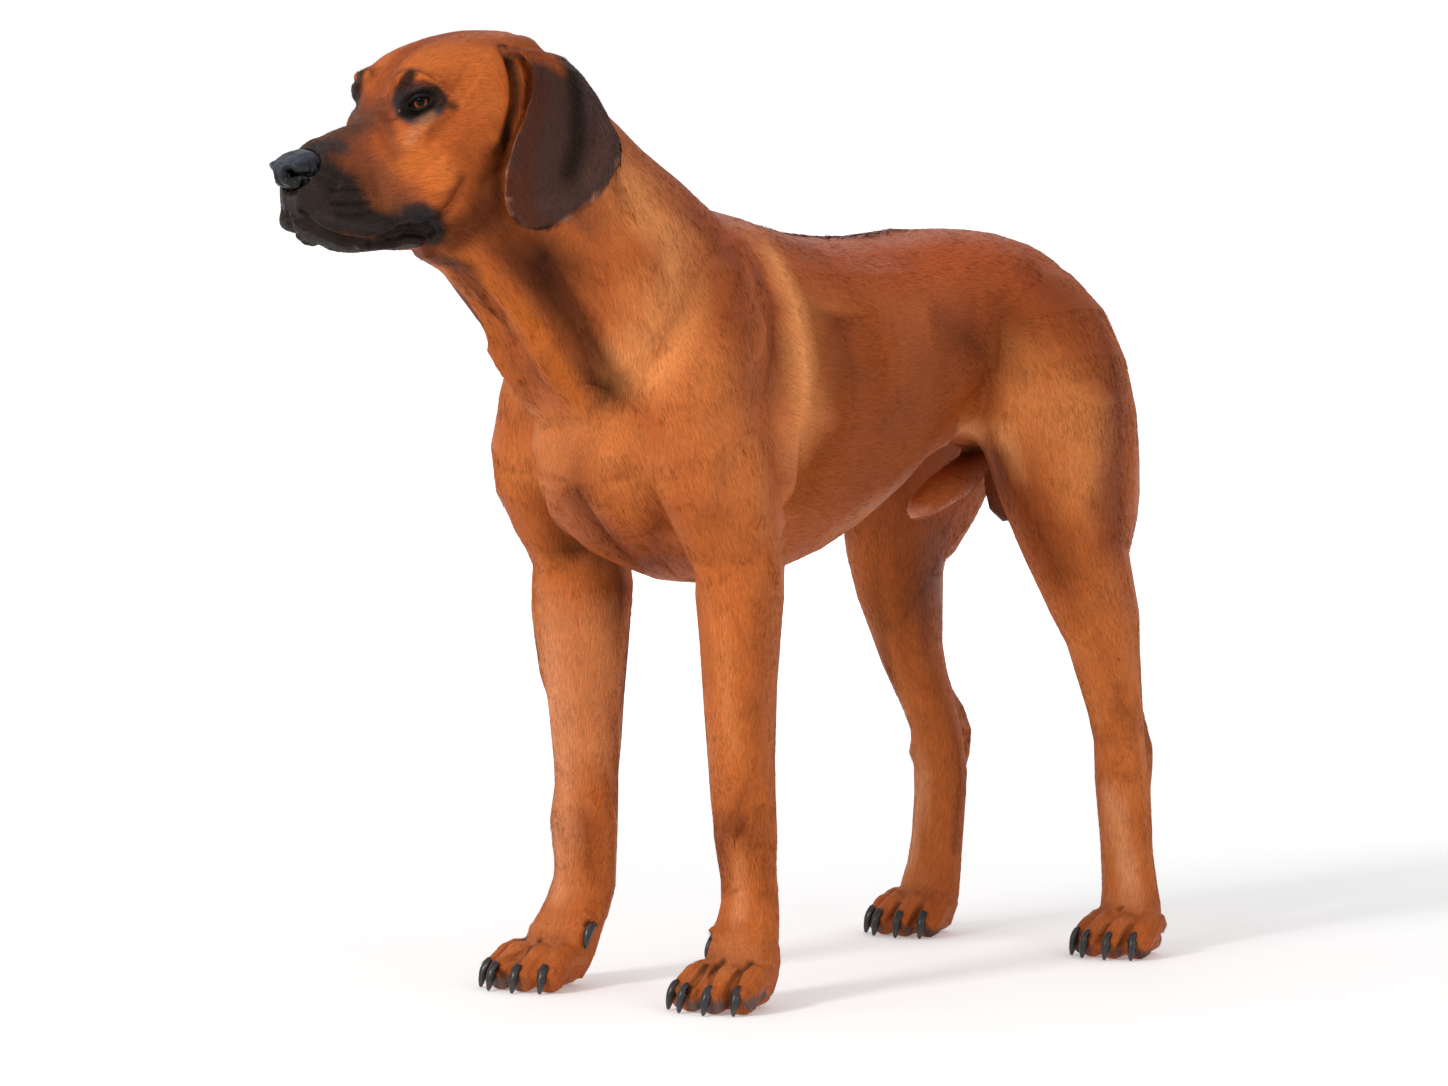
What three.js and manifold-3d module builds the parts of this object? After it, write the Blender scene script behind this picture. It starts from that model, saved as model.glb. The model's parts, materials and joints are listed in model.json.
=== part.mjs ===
// A standing Rhodesian Ridgeback, adult male, life size, in millimetres.
// The dog faces -Y, its left side is +X and +Z is up. The head is drawn in its own frame, which faces -Y too,
// and is turned and set on the neck. At the end the group is centred over the floor.
// Muscles and limbs are tubes of rounded sections. They are fused into one body, which is then parted into
// named pieces with thin flat cuts, as a sculptor parts a cast.
import * as THREE from "three";
import { mergeVertices } from "three/addons/utils/BufferGeometryUtils.js";
import Module from "manifold-3d";

const wasm = await Module();
wasm.setup();

// ---------------------------------------------------------------- driving dimensions
const withersHeight = 693;
const chestHalf = 106; // half width of the rib cage
const headJoint = [-15, -138, 782]; // where the skull sits on the neck
const headYaw = 9; // degrees, the head turns a little to the dog's right
const headPitch = 11; // degrees, nose down
const noseTip = 271; // length of the head in front of the joint
const eyeRadius = 11.5;
const eyeCentre = [34, -134, 30]; // left eye, in the head's frame
const forePaw = [113, -16]; // middle of the left forepaw on the floor
const hindPaw = [125, 511]; // middle of the left hind paw on the floor
const foreLine = [95, 20]; // the left foreleg's axis between elbow and carpus
const elbowHeight = 378;
const carpusHeight = 148;
const stifle = [104, 408, 392];
const hock = [111, 548, 176];
const hindSize = 0.92; // hind paws against forepaws
const clawLength = 19;
const cut = 0.35; // thin gap between pieces

// ---------------------------------------------------------------- tools
const vec = (p) => new THREE.Vector3(...p);

// Smooth value at t, from 0 to 1, along a list of numbers.
function smooth(values, t) {
  const span = t * (values.length - 1);
  const i = Math.min(Math.floor(span), values.length - 2);
  const f = span - i;
  const b = values[i];
  const c = values[i + 1];
  const a = i > 0 ? values[i - 1] : 2 * b - c;
  const d = i + 2 < values.length ? values[i + 2] : 2 * c - b;
  return 0.5 * (2 * b + (c - a) * f + (2 * a - 5 * b + 4 * c - d) * f ** 2 + (3 * (b - c) + d - a) * f ** 3);
}

// Closed skin over a list of rings of equal length, with a fan over each end.
function skinOver(rings) {
  const sides = rings[0].length;
  const points = rings.flat();
  const middle = (ring) => ring.reduce((sum, p) => sum.add(p), new THREE.Vector3()).divideScalar(sides);
  points.push(middle(rings[0]), middle(rings[rings.length - 1]));
  const [startHub, endHub] = [points.length - 2, points.length - 1];
  const last = (rings.length - 1) * sides;
  const faces = [];
  for (let k = 0; k < sides; k++) {
    const next = (k + 1) % sides;
    faces.push(startHub, next, k, endHub, last + k, last + next);
    for (let i = 0; i < last; i += sides) {
      faces.push(i + k, i + next, i + sides + next, i + k, i + sides + next, i + sides + k);
    }
  }
  return new THREE.BufferGeometry().setFromPoints(points).setIndex(faces);
}

// Tube of rounded sections. A station is [x, y, z, out, in, fore, aft]: the middle of the section, its reach
// to the dog's left and right, and its reach to the two sides across that. A body is strung from tail to
// nose, so `fore` is its back and `aft` its belly; a leg is strung from top to paw, so they are its front
// and back. An eighth number turns the section outwards, in degrees. `square` over 2 makes the section
// boxier, and `squareAft` does so for its aft half alone. Sections are square to the tube, or to `facing`
// where that is given. `relief` gives the height of folds and muscles at a point, and `grow` swells the
// whole tube, for a cutter that leaves a gap.
function tube(stations, options) {
  const { rings, sides, square = 2, squareAft = square, facing, relief = () => 0, grow = 0 } = options;
  const column = (n) => stations.map((station) => station[n] ?? 0);
  const boxiness = (value, t) => 2 / (Array.isArray(value) ? smooth(value, t) : value);
  const at = (t) => new THREE.Vector3(smooth(column(0), t), smooth(column(1), t), smooth(column(2), t));
  const step = 0.5 / rings;
  const made = [];
  for (let i = 0; i <= rings; i++) {
    const t = i / rings;
    const centre = at(t);
    const ahead = at(Math.min(1, t + step)).sub(at(Math.max(0, t - step)));
    const along = facing ? vec(facing) : ahead.normalize();
    const turn = THREE.MathUtils.degToRad(-smooth(column(7), t));
    const side = new THREE.Vector3(1, 0, 0).addScaledVector(along, -along.x);
    side.applyAxisAngle(along, turn).normalize();
    const face = along.clone().cross(side);
    const powers = [boxiness(square, t), boxiness(squareAft, t)];
    const reach = [3, 4, 5, 6].map((n) => Math.max(0.5, smooth(column(n), t)) + grow);
    const ring = [];
    for (let k = 0; k < sides; k++) {
      const angle = (k / sides) * 2 * Math.PI;
      const c = Math.cos(angle);
      const s = Math.sin(angle);
      const power = powers[s > 0 ? 0 : 1];
      const across = Math.sign(c) * Math.abs(c) ** power * (c > 0 ? reach[0] : reach[1]);
      const over = Math.sign(s) * Math.abs(s) ** power * (s > 0 ? reach[2] : reach[3]);
      const offset = side.clone().multiplyScalar(across).addScaledVector(face, over);
      const p = centre.clone().add(offset);
      ring.push(p.addScaledVector(offset.normalize(), relief(p)));
    }
    made.push(ring);
  }
  return skinOver(made);
}

const nosewards = [0, -1, 0];

// Stations of a body strung along -Y, from rows of
// [how far back, lowest, highest, height of the widest part, half width].
const profile = (rows, x = 0) =>
  rows.map(([y, low, high, widest, half]) => [x, y, widest, half, half, high - widest, widest - low]);

// Closed sheet with thickness over a grid of points, for the ears.
function sheet(grid, thickness) {
  const [rows, columns] = [grid.length, grid[0].length];
  const points = [];
  for (const side of [1, -1]) {
    for (let i = 0; i < rows; i++) {
      for (let j = 0; j < columns; j++) {
        const down = grid[Math.min(i + 1, rows - 1)][j].clone().sub(grid[Math.max(i - 1, 0)][j]);
        const along = grid[i][Math.min(j + 1, columns - 1)].clone().sub(grid[i][Math.max(j - 1, 0)]);
        const normal = along.cross(down).normalize();
        points.push(grid[i][j].clone().addScaledVector(normal, (side * thickness(i, j)) / 2));
      }
    }
  }
  const at = (i, j, inner) => i * columns + j + (inner ? rows * columns : 0);
  const faces = [];
  for (let i = 0; i < rows - 1; i++) {
    for (let j = 0; j < columns - 1; j++) {
      const [a, b, c, d] = [[i, j], [i, j + 1], [i + 1, j + 1], [i + 1, j]];
      faces.push(at(...a, 0), at(...b, 0), at(...c, 0), at(...a, 0), at(...c, 0), at(...d, 0));
      faces.push(at(...a, 1), at(...c, 1), at(...b, 1), at(...a, 1), at(...d, 1), at(...c, 1));
    }
  }
  const wall = (a, b) => {
    faces.push(at(...b, 0), at(...a, 0), at(...a, 1));
    faces.push(at(...b, 0), at(...a, 1), at(...b, 1));
  };
  for (let j = 0; j < columns - 1; j++) {
    wall([0, j], [0, j + 1]);
    wall([rows - 1, j + 1], [rows - 1, j]);
  }
  for (let i = 0; i < rows - 1; i++) {
    wall([i + 1, 0], [i, 0]);
    wall([i, columns - 1], [i + 1, columns - 1]);
  }
  return new THREE.BufferGeometry().setFromPoints(points).setIndex(faces);
}

// Height of a muscle, fold or, where `rise` is negative, a groove, from one point to another.
function mound(from, to, reach, rise) {
  const line = new THREE.Line3(vec(from), vec(to));
  const nearest = new THREE.Vector3();
  return (p) => rise * Math.exp(-((line.closestPointToPoint(p, true, nearest).distanceTo(p) / reach) ** 2));
}
const across = ([x, y, z]) => [-x, y, z];
const pair = (from, to, reach, rise) => [
  mound(from, to, reach, rise),
  mound(across(from), across(to), reach, rise),
];
const sumOf = (mounds) => (p) => mounds.reduce((sum, m) => sum + m(p), 0);

function solidOf(geometry) {
  const bare = geometry.clone();
  bare.deleteAttribute("normal");
  bare.deleteAttribute("uv");
  const merged = mergeVertices(bare, 1e-4);
  return new wasm.Manifold(
    new wasm.Mesh({
      numProp: 3,
      vertProperties: merged.attributes.position.array,
      triVerts: new Uint32Array(merged.index.array),
    }),
  );
}

const fuse = (geometries) => wasm.Manifold.union(geometries.map(solidOf));
const largest = (solid) => solid.decompose().sort((a, b) => b.volume() - a.volume())[0];

function geometryOf(solid) {
  const { vertProperties, triVerts, numProp, numVert } = solid.getMesh();
  const positions = new Float32Array(numVert * 3);
  for (let i = 0; i < numVert; i++) {
    positions.set(vertProperties.subarray(i * numProp, i * numProp + 3), i * 3);
  }
  const geometry = new THREE.BufferGeometry();
  geometry.setAttribute("position", new THREE.BufferAttribute(positions, 3));
  geometry.setIndex(new THREE.BufferAttribute(triVerts, 1));
  geometry.computeVertexNormals();
  return geometry;
}

// The same geometry on the dog's other side.
function mirrored(geometry) {
  const turned = geometry.clone().scale(-1, 1, 1);
  const index = turned.index.array;
  for (let i = 0; i < index.length; i += 3) [index[i + 1], index[i + 2]] = [index[i + 2], index[i + 1]];
  return turned;
}

// ---------------------------------------------------------------- torso
function torso(grow = 0) {
  const sections = [
    [566, 520, 575, 548, 12],
    [546, 486, 622, 548, 50],
    [500, 466, 650, 548, 82],
    [440, 464, 664, 546, 90],
    [375, 466, 668, 540, 86],
    [310, 446, 664, 528, chestHalf - 14],
    [240, 402, 660, 514, chestHalf - 2],
    [160, 369, 668, 506, chestHalf],
    [90, 359, withersHeight - 6, 502, chestHalf - 4],
    [30, 362, withersHeight, 500, chestHalf - 12],
    [-24, 382, 668, 496, chestHalf - 20],
    [-64, 408, 620, 486, chestHalf - 36],
    [-92, 436, 540, 474, chestHalf - 62],
    [-102, 448, 500, 470, 12],
  ];
  const relief = sumOf([
    ...pair([40, -92, 500], [34, -40, 400], 26, 7), // breast muscles
    mound([0, -104, 470], [0, -60, 384], 12, -7), // groove between them
    mound([0, 90, 700], [0, 520, 665], 16, -2.5), // furrow along the spine
    ...pair([92, 420, 580], [84, 330, 460], 26, -7), // hollow of the flank
    ...pair([70, 372, 642], [82, 420, 620], 22, 4), // hip bones
  ]);
  return tube(profile(sections), { facing: nosewards, rings: 23, sides: 22, square: 2.2, relief, grow });
}

function neck(grow = 0) {
  const [x, y, z] = headJoint;
  const stations = [
    [0, 52, 545, 84, 84, 132, 90],
    [0, -8, 582, 89, 89, 128, 118],
    [0, -61, 624, 86, 86, 124, 116],
    [1, -112, 670, 77, 77, 111, 99],
    [x + 11, y - 14, 708, 70, 70, 106, 106],
    [x + 4, y - 42, 738, 62, 62, 88, 120],
    [x - 2, y - 66, 760, 50, 50, 44, 108],
  ];
  const relief = sumOf([
    mound([-2, -212, 640], [20, -96, 490], 13, 9), // throat folds, down to the breastbone
    mound([-44, -196, 640], [-22, -96, 490], 13, 9),
    mound([-24, -214, 640], [0, -108, 490], 10, -8),
    ...pair([60, -120, 720], [78, -60, 560], 24, 8), // the long muscle on each side
    ...pair([46, -160, 690], [52, -92, 560], 14, -8),
  ]);
  return tube(stations, { rings: 12, sides: 20, square: 2.1, relief, grow });
}

// ---------------------------------------------------------------- legs, the left ones
function foreLegParts(grow = 0) {
  const [x, y] = foreLine;
  const [pawX, pawY] = forePaw;
  const blade = [
    [26, 76, 672, 10, 10, 22, 22],
    [56, 48, 636, 26, 30, 50, 50],
    [78, 8, 580, 34, 36, 60, 62],
    [90, -28, 524, 35, 36, 60, 62],
    [90, -44, 480, 26, 28, 38, 40],
  ];
  const arm = [
    [84, -24, 560, 28, 28, 44, 62],
    [93, -34, 500, 37, 36, 53, 74],
    [98, -18, 450, 37, 36, 58, 72],
    [97, 6, 408, 34, 34, 52, 62],
    [96, 16, elbowHeight - 8, 29, 30, 44, 50],
    [x + 1, y + 4, elbowHeight - 50, 20, 20, 28, 26],
  ];
  const foreArm = [
    [x + 1, y - 2, elbowHeight + 36, 26, 28, 34, 28, 20],
    [x, y, elbowHeight - 8, 36, 42, 50, 46, 24],
    [x, y, elbowHeight - 50, 33, 39, 45, 44, 25],
    [x, y, elbowHeight - 110, 28, 35, 37, 38, 22],
    [x, y + 2, carpusHeight + 50, 25, 32, 29, 31, 8],
    [x + 2, y + 1, carpusHeight, 30, 33, 26, 27, -15],
    [x + 3, y + 4, carpusHeight - 32, 28, 31, 23, 23, -15],
    [x + 6, y + 4, 88, 29, 33, 23, 22, -12],
    [pawX - 9, pawY + 30, 60, 32, 34, 24, 24],
    [pawX - 4, pawY + 20, 36, 35, 35, 28, 30],
    [pawX, pawY + 14, 14, 29, 29, 26, 28],
  ];
  const elbowPoint = [
    [92, 34, 412, 12, 12, 14, 14],
    [92, 50, 388, 15, 15, 18, 18],
    [93, 40, 356, 12, 12, 16, 16],
  ];
  const wristPad = [
    [x + 3, y + 18, carpusHeight - 22, 8, 8, 8, 8],
    [x + 4, y + 30, carpusHeight - 44, 10, 10, 10, 10],
    [x + 4, y + 24, carpusHeight - 60, 7, 7, 7, 7],
  ];
  const thumb = [
    [x - 10, y + 5, 90, 8, 10, 10, 10],
    [x - 19, y, 72, 8, 9, 10, 10],
    [x - 22, y - 6, 55, 6, 7, 7, 7],
  ];
  return [
    tube(blade, { rings: 6, sides: 12, grow }),
    tube(arm, { rings: 8, sides: 14, grow }),
    tube(foreArm, { rings: 16, sides: 12, square: 2.15, grow }),
    tube(elbowPoint, { rings: 4, sides: 8, grow }),
    tube(wristPad, { rings: 3, sides: 8, grow }),
    tube(thumb, { rings: 3, sides: 8, grow }),
  ];
}

function hindLegParts(grow = 0) {
  const [x, y, z] = stifle;
  const [pawX, pawY] = hindPaw;
  const [hockX, hockY, hockZ] = hock;
  const thigh = [
    [30, 452, 616, 22, 26, 50, 56],
    [58, 454, 586, 44, 48, 80, 84],
    [78, 456, 525, 52, 56, 92, 102],
    [90, 454, 460, 43, 50, 88, 108],
    [x, y + 42, z + 12, 36, 44, 66, 96],
    [x + 6, y + 45, z - 34, 32, 38, 42, 72],
    [x + 13, y + 56, z - 80, 24, 28, 26, 46],
  ];
  const shank = [
    [x + 3, y + 24, z + 20, 30, 36, 42, 54],
    [x + 10, y + 45, z - 34, 32, 37, 46, 65],
    [x + 15, y + 70, z - 84, 30, 34, 40, 50],
    [x + 15, y + 84, z - 132, 26, 27, 31, 37],
    [hockX + 1, hockY - 34, hockZ + 34, 24, 24, 25, 26],
    [hockX - 1, hockY - 27, hockZ + 4, 25, 26, 26, 24],
    [hockX, hockY - 22, hockZ - 34, 25, 27, 25, 25],
    [hockX + 3, hockY - 23, hockZ - 78, 24, 25, 23, 25],
    [pawX - 7, pawY + 14, 60, 27, 27, 24, 25],
    [pawX - 3, pawY + 11, 36, 30, 31, 26, 27],
    [pawX, pawY + 9, 14, 27, 27, 25, 26],
  ];
  const cord = [
    [112, 492, 350, 20, 23, 28, 36],
    [117, 511, 296, 14, 16, 21, 22],
    [hockX + 4, 524, 244, 9, 9, 13, 13],
    [hockX - 1, hockY - 2, hockZ + 32, 10, 10, 13, 12],
    [hockX - 2, hockY + 5, hockZ + 8, 12, 12, 15, 12],
    [hockX, hockY - 2, hockZ - 20, 12, 12, 13, 12],
    [hockX + 2, hockY - 12, hockZ - 50, 11, 11, 12, 11],
  ];
  const buttock = [
    [28, 498, 592, 20, 22, 34, 38],
    [52, 511, 545, 38, 40, 50, 58],
    [68, 513, 485, 38, 40, 52, 58],
    [87, 500, 420, 27, 31, 42, 55],
    [104, 484, 370, 20, 24, 32, 50],
  ];
  return [
    tube(thigh, { rings: 10, sides: 16, grow }),
    tube(shank, { rings: 14, sides: 12, square: 2.1, grow }),
    tube(cord, { rings: 8, sides: 8, grow }),
    tube(buttock, { rings: 5, sides: 10, grow }),
  ];
}

// ---------------------------------------------------------------- paws
// Four arched toes a paw, each with its claw: [sideways, how far forward, turn in degrees]
const toes = [
  [-30, 30, 9],
  [-11, 41, 3],
  [11, 41, -4],
  [29, 28, -12],
];
const forward = (degrees, reach) => {
  const turn = THREE.MathUtils.degToRad(degrees);
  return [-Math.sin(turn) * reach, -Math.cos(turn) * reach];
};

function toe([pawX, pawY], [sideways, ahead, turn], size, grow = 0) {
  const stations = [
    [-36, 30, 12],
    [-18, 30, 13],
    [-4, 21, 14],
    [6, 11.5, 14],
    [12, 8, 11],
  ].map(([reach, height, radius]) => {
    const [dx, dy] = forward(turn, (ahead + reach - 10) * size);
    return [pawX + sideways * size + dx, pawY + dy, height, radius, radius, radius, radius];
  });
  return tube(stations, { rings: 4, sides: 8, grow });
}

function claw([pawX, pawY], [sideways, ahead, turn], size) {
  const stations = [
    [5, 23, 4.8],
    [12, 20, 5.4],
    [17, 11, 4.2],
    [clawLength, 1.5, 1.2],
  ].map(([reach, height, radius]) => {
    const [dx, dy] = forward(turn, (ahead + reach - 8) * size);
    return [pawX + sideways * size + dx, pawY + dy, height, radius * 0.8, radius * 0.8, radius, radius];
  });
  return tube(stations, { rings: 4, sides: 5 });
}

function dewClaw() {
  const [x, y] = foreLine;
  const stations = [
    [x - 21, y - 8, 60, 3.6, 3.6, 4.4, 4.4],
    [x - 23, y - 16, 54, 3.4, 3.4, 4.2, 4.2],
    [x - 23, y - 21, 44, 2.6, 2.6, 3, 3],
    [x - 22, y - 21, 37, 0.8, 0.8, 0.8, 0.8],
  ];
  return tube(stations, { rings: 4, sides: 5 });
}

function sole([pawX, pawY], size) {
  const stations = [
    [pawX, pawY + 37 * size, 14, 16, 16, 16, 14],
    [pawX, pawY + 14 * size, 14, 32 * size, 30 * size, 22, 15],
    [pawX, pawY - 8 * size, 14, 34 * size, 32 * size, 22, 14],
    [pawX, pawY - 26 * size, 12, 22 * size, 22 * size, 12, 9],
  ];
  return tube(stations, { rings: 5, sides: 10 });
}

// ---------------------------------------------------------------- head, in its own frame
const seat = new THREE.Matrix4()
  .makeTranslation(...headJoint)
  .multiply(new THREE.Matrix4().makeRotationZ(THREE.MathUtils.degToRad(-headYaw)))
  .multiply(new THREE.Matrix4().makeRotationX(THREE.MathUtils.degToRad(headPitch)));
const seated = (geometry) => geometry.clone().applyMatrix4(seat);

function skull(grow = 0) {
  const sections = [
    [34, -88, 22, -22, 50],
    [0, -106, 60, 2, 60],
    [-34, -114, 73, 8, 65],
    [-66, -115, 76, 8, 67],
    [-96, -107, 75, 4, 66],
    [-120, -100, 69, -2, 63],
    [-142, -94, 54, -12, 57],
    [-160, -85, 35, -24, 50],
    [-178, -78, 23, -34, 45],
    [-202, -78, 20, -40, 42],
    [-222, -77, 16, -40, 40],
    [-240, -70, 10, -36, 35],
    [-251, -60, 3, -32, 26],
    [-258, -46, -7, -28, 12],
  ];
  const relief = sumOf([
    mound([0, -150, 56], [0, -90, 76], 9, -3.5), // furrow of the forehead
    ...pair([34, -144, 46], [52, -128, 38], 13, 9), // brows
    ...pair([36, -154, 32], [50, -134, 28], 10, -4), // eye sockets
    ...pair([60, -100, 8], [58, -138, -4], 16, 5), // cheek bones
    ...pair([62, -60, -40], [58, -104, -56], 30, 5), // jaw muscles
    ...pair([42, -180, 4], [38, -232, -4], 15, -4), // sides of the bridge
    ...pair([44, -212, -52], [36, -240, -44], 16, 4), // whisker pads
  ]);
  const square = [2, 2.2, 2.5, 2.6, 2.6, 2.9, 3, 2.4, 1.9, 1.9, 1.9, 1.9, 2, 2];
  const squareAft = [2, 2.2, 2.3, 2.3, 2.3, 2.3, 2.4, 2.6, 3.2, 3.4, 3.2, 2.8, 2.4, 2.2];
  const options = { facing: nosewards, rings: 27, sides: 22, square, squareAft, relief, grow };
  return tube(profile(sections), options);
}

function lowerJaw(grow = 0) {
  const sections = [
    [-118, -90, -76, -83, 14],
    [-138, -96, -72, -84, 28],
    [-158, -94, -72, -84, 34],
    [-180, -89, -66, -78, 34],
    [-202, -87, -60, -73, 31],
    [-220, -82, -54, -68, 25],
    [-232, -73, -48, -60, 17],
    [-238, -64, -50, -56, 8],
  ];
  return tube(profile(sections), { facing: nosewards, rings: 10, sides: 12, square: 2.3, grow });
}

function noseLeather(grow = 0) {
  const sections = [
    [-230, -14, 7, -3, 16],
    [-238, -19, 11, -4, 22],
    [-248, -21, 11, -5, 23],
    [-258, -20, 8, -5, 20],
    [-265, -15, 4, -5, 14],
    [3 - noseTip, -9, 0, -5, 6],
  ];
  const groove = mound([0, -280, -24], [0, -270, -4], 3.5, -2);
  const options = { facing: nosewards, rings: 7, sides: 12, square: 2.3, relief: groove, grow };
  return tube(profile(sections), options);
}

function nostril() {
  const stations = [
    [9, -256, -7, 4, 4, 4, 4],
    [13, -264, -7, 5, 5, 5, 4.5],
    [19, -262, -8, 4.6, 4.6, 4.6, 4],
    [23, -254, -8, 3.4, 3.4, 3.4, 3],
    [25, -244, -5, 2, 2, 2, 2],
  ];
  return tube(stations, { rings: 5, sides: 5 });
}

// The eye looks outwards and forwards; the lids are a shell over it with an almond-shaped opening.
const gaze = vec([0.62, -0.77, 0.08]).normalize();
const eyeball = (radius) => new THREE.SphereGeometry(radius, 12, 8).translate(...eyeCentre);

function lids() {
  return new THREE.SphereGeometry(eyeRadius + 3, 14, 8).translate(...eyeCentre);
}

function lidOpening() {
  const corner = 15;
  const rings = [0, 1, 2, 3].map((i) => {
    const ahead = 4 + i * 7;
    const ring = [];
    for (let k = 0; k < 16; k++) {
      const angle = (k / 16) * 2 * Math.PI;
      const wide = corner * Math.cos(angle) * (0.55 + 0.15 * i);
      const tall = 6.6 * Math.sin(angle) * Math.abs(Math.sin(angle)) ** 0.25 * (0.62 + 0.14 * i);
      ring.push([wide, tall, ahead]);
    }
    return ring;
  });
  const outer = vec([0, 0, 1]).cross(gaze).normalize();
  const up = gaze.clone().cross(outer);
  const tilt = 0.18;
  return skinOver(
    rings.map((ring) =>
      ring.map(([wide, tall, ahead]) =>
        vec(eyeCentre)
          .addScaledVector(outer, wide)
          .addScaledVector(up, tall + wide * tilt)
          .addScaledVector(gaze, ahead),
      ),
    ),
  );
}

// The left ear: rows from its root to its tip, each from the front edge to the rear edge.
const earRows = [
  [[50, -54, 58], [46, 2, 40]],
  [[60, -44, 56], [58, 8, 38]],
  [[69, -42, 38], [66, 18, 20]],
  [[75, -54, 18], [72, 27, -2]],
  [[78, -70, -4], [79, 32, -27]],
  [[80, -88, -28], [87, 34, -50]],
  [[82, -98, -52], [88, 14, -66]],
  [[83, -99, -70], [87, -10, -79]],
  [[84, -92, -85], [86, -34, -88]],
  [[84, -74, -94], [84, -58, -95]],
];

function ear() {
  const columns = 6;
  const rows = 10;
  const grid = [];
  for (let i = 0; i <= rows; i++) {
    const t = i / rows;
    const edge = (side) => vec([0, 1, 2].map((n) => smooth(earRows.map((row) => row[side][n]), t)));
    const [front, rear] = [edge(0), edge(1)];
    const bow = 3 + 8 * Math.sin(Math.PI * t);
    const curl = 7 * Math.exp(-(((t - 0.25) / 0.2) ** 2)); // the front edge turns out at the cup
    const row = [];
    for (let j = 0; j <= columns; j++) {
      const s = j / columns;
      const p = front.clone().lerp(rear, s);
      p.x += bow * Math.sin(Math.PI * s) + curl * Math.exp(-((s / 0.16) ** 2));
      row.push(p);
    }
    grid.push(row);
  }
  const thickness = (i, j) => {
    const edge = Math.min(j, columns - j, rows - i) / columns;
    return 1.8 + 3.4 * Math.min(1, edge * 3) + 3 * Math.exp(-i / 3);
  };
  return sheet(grid, thickness);
}

// The deep fold at the front of the ear's root, where the ear opens.
function earHollow() {
  const stations = [
    [56, -57, 62, 4, 4, 4, 4],
    [63, -52, 50, 7, 7, 7, 7],
    [68, -54, 34, 8, 8, 8, 8],
    [71, -60, 18, 7, 7, 7, 7],
    [74, -68, 2, 4, 4, 4, 4],
  ];
  return tube(stations, { rings: 5, sides: 8 });
}

// ---------------------------------------------------------------- tail, sheath and scrotum
function tail() {
  const stations = [
    [0, 520, 612, 22, 22, 24, 24],
    [2, 560, 604, 22, 22, 24, 24],
    [8, 590, 570, 19, 19, 20, 20],
    [15, 604, 500, 17, 17, 17, 17],
    [20, 610, 420, 15, 15, 15, 15],
    [24, 612, 330, 12, 12, 12, 12],
    [27, 608, 250, 9, 9, 9, 9],
    [29, 598, 190, 6, 6, 6, 6],
    [30, 592, 168, 2, 2, 2, 2],
  ];
  return tube(stations, { rings: 12, sides: 8 });
}

function sheath() {
  const stations = [
    [0, 452, 452, 16, 16, 16, 16],
    [0, 420, 438, 17, 17, 17, 22],
    [0, 390, 424, 17, 17, 18, 18],
    [0, 364, 412, 13, 13, 14, 13],
    [0, 350, 404, 5, 5, 6, 5],
  ];
  return tube(stations, { rings: 7, sides: 10 });
}

function scrotum() {
  const stations = [
    [0, 504, 476, 20, 20, 20, 20],
    [0, 498, 446, 26, 26, 26, 24],
    [0, 494, 418, 27, 27, 26, 24],
    [0, 492, 398, 17, 17, 16, 15],
    [0, 492, 391, 4, 4, 4, 4],
  ];
  return tube(stations, { rings: 6, sides: 10 });
}

// ---------------------------------------------------------------- fusing and parting
const foreToes = toes.map((t) => toe(forePaw, t, 1));
const hindToes = toes.map((t) => toe(hindPaw, t, hindSize));
const leftFlesh = [...foreLegParts(), ...hindLegParts(), ...foreToes, ...hindToes];
leftFlesh.push(sole(forePaw, 1), sole(hindPaw, hindSize));
const bothSides = (geometry) => [geometry, mirrored(geometry)];
const flesh = [torso(), neck(), ...leftFlesh.flatMap(bothSides)];
const floorSlab = new THREE.BoxGeometry(1000, 2000, 100).translate(0, 0, -50);
const headSolid = fuse([skull(), ...bothSides(lids())].map(seated));
const eyes = bothSides(eyeball(eyeRadius + cut)).map(seated);
const openings = bothSides(lidOpening()).map(seated);
const earHollows = bothSides(earHollow()).map(seated);
const hollows = [...eyes, ...openings, ...earHollows, seated(lowerJaw(cut)), seated(noseLeather(cut))];
let rest = fuse(flesh).add(headSolid).subtract(fuse(hollows)).subtract(solidOf(floorSlab));

// Flat-faced cutter: all that lies beyond a point in a direction, within `half` of the point sideways.
function beyond(point, direction, half, depth, grow = 0) {
  const size = 2 * (half + grow);
  const block = new THREE.BoxGeometry(size, size, depth + 2 * grow).translate(0, 0, depth / 2);
  const turn = new THREE.Quaternion().setFromUnitVectors(vec([0, 0, 1]), vec(direction).normalize());
  return block.applyQuaternion(turn).translate(...point);
}

const dog = new THREE.Group();
const finishes = {
  coat: new THREE.MeshStandardMaterial({ color: 0x9a4a20, roughness: 0.62, metalness: 0 }),
  mask: new THREE.MeshStandardMaterial({ color: 0x2a211f, roughness: 0.6, metalness: 0 }),
  earCoat: new THREE.MeshStandardMaterial({ color: 0x45211a, roughness: 0.6, metalness: 0 }),
  nose: new THREE.MeshStandardMaterial({ color: 0x23252b, roughness: 0.4, metalness: 0 }),
  eye: new THREE.MeshStandardMaterial({ color: 0x3a1c0c, roughness: 0.08, metalness: 0 }),
  claw: new THREE.MeshStandardMaterial({ color: 0x24211f, roughness: 0.35, metalness: 0 }),
  bareSkin: new THREE.MeshStandardMaterial({ color: 0x7a4436, roughness: 0.6, metalness: 0 }),
};

function add(name, solid, finish) {
  const mesh = new THREE.Mesh(geometryOf(largest(solid)), finishes[finish]);
  mesh.name = name;
  dog.add(mesh);
}

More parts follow.
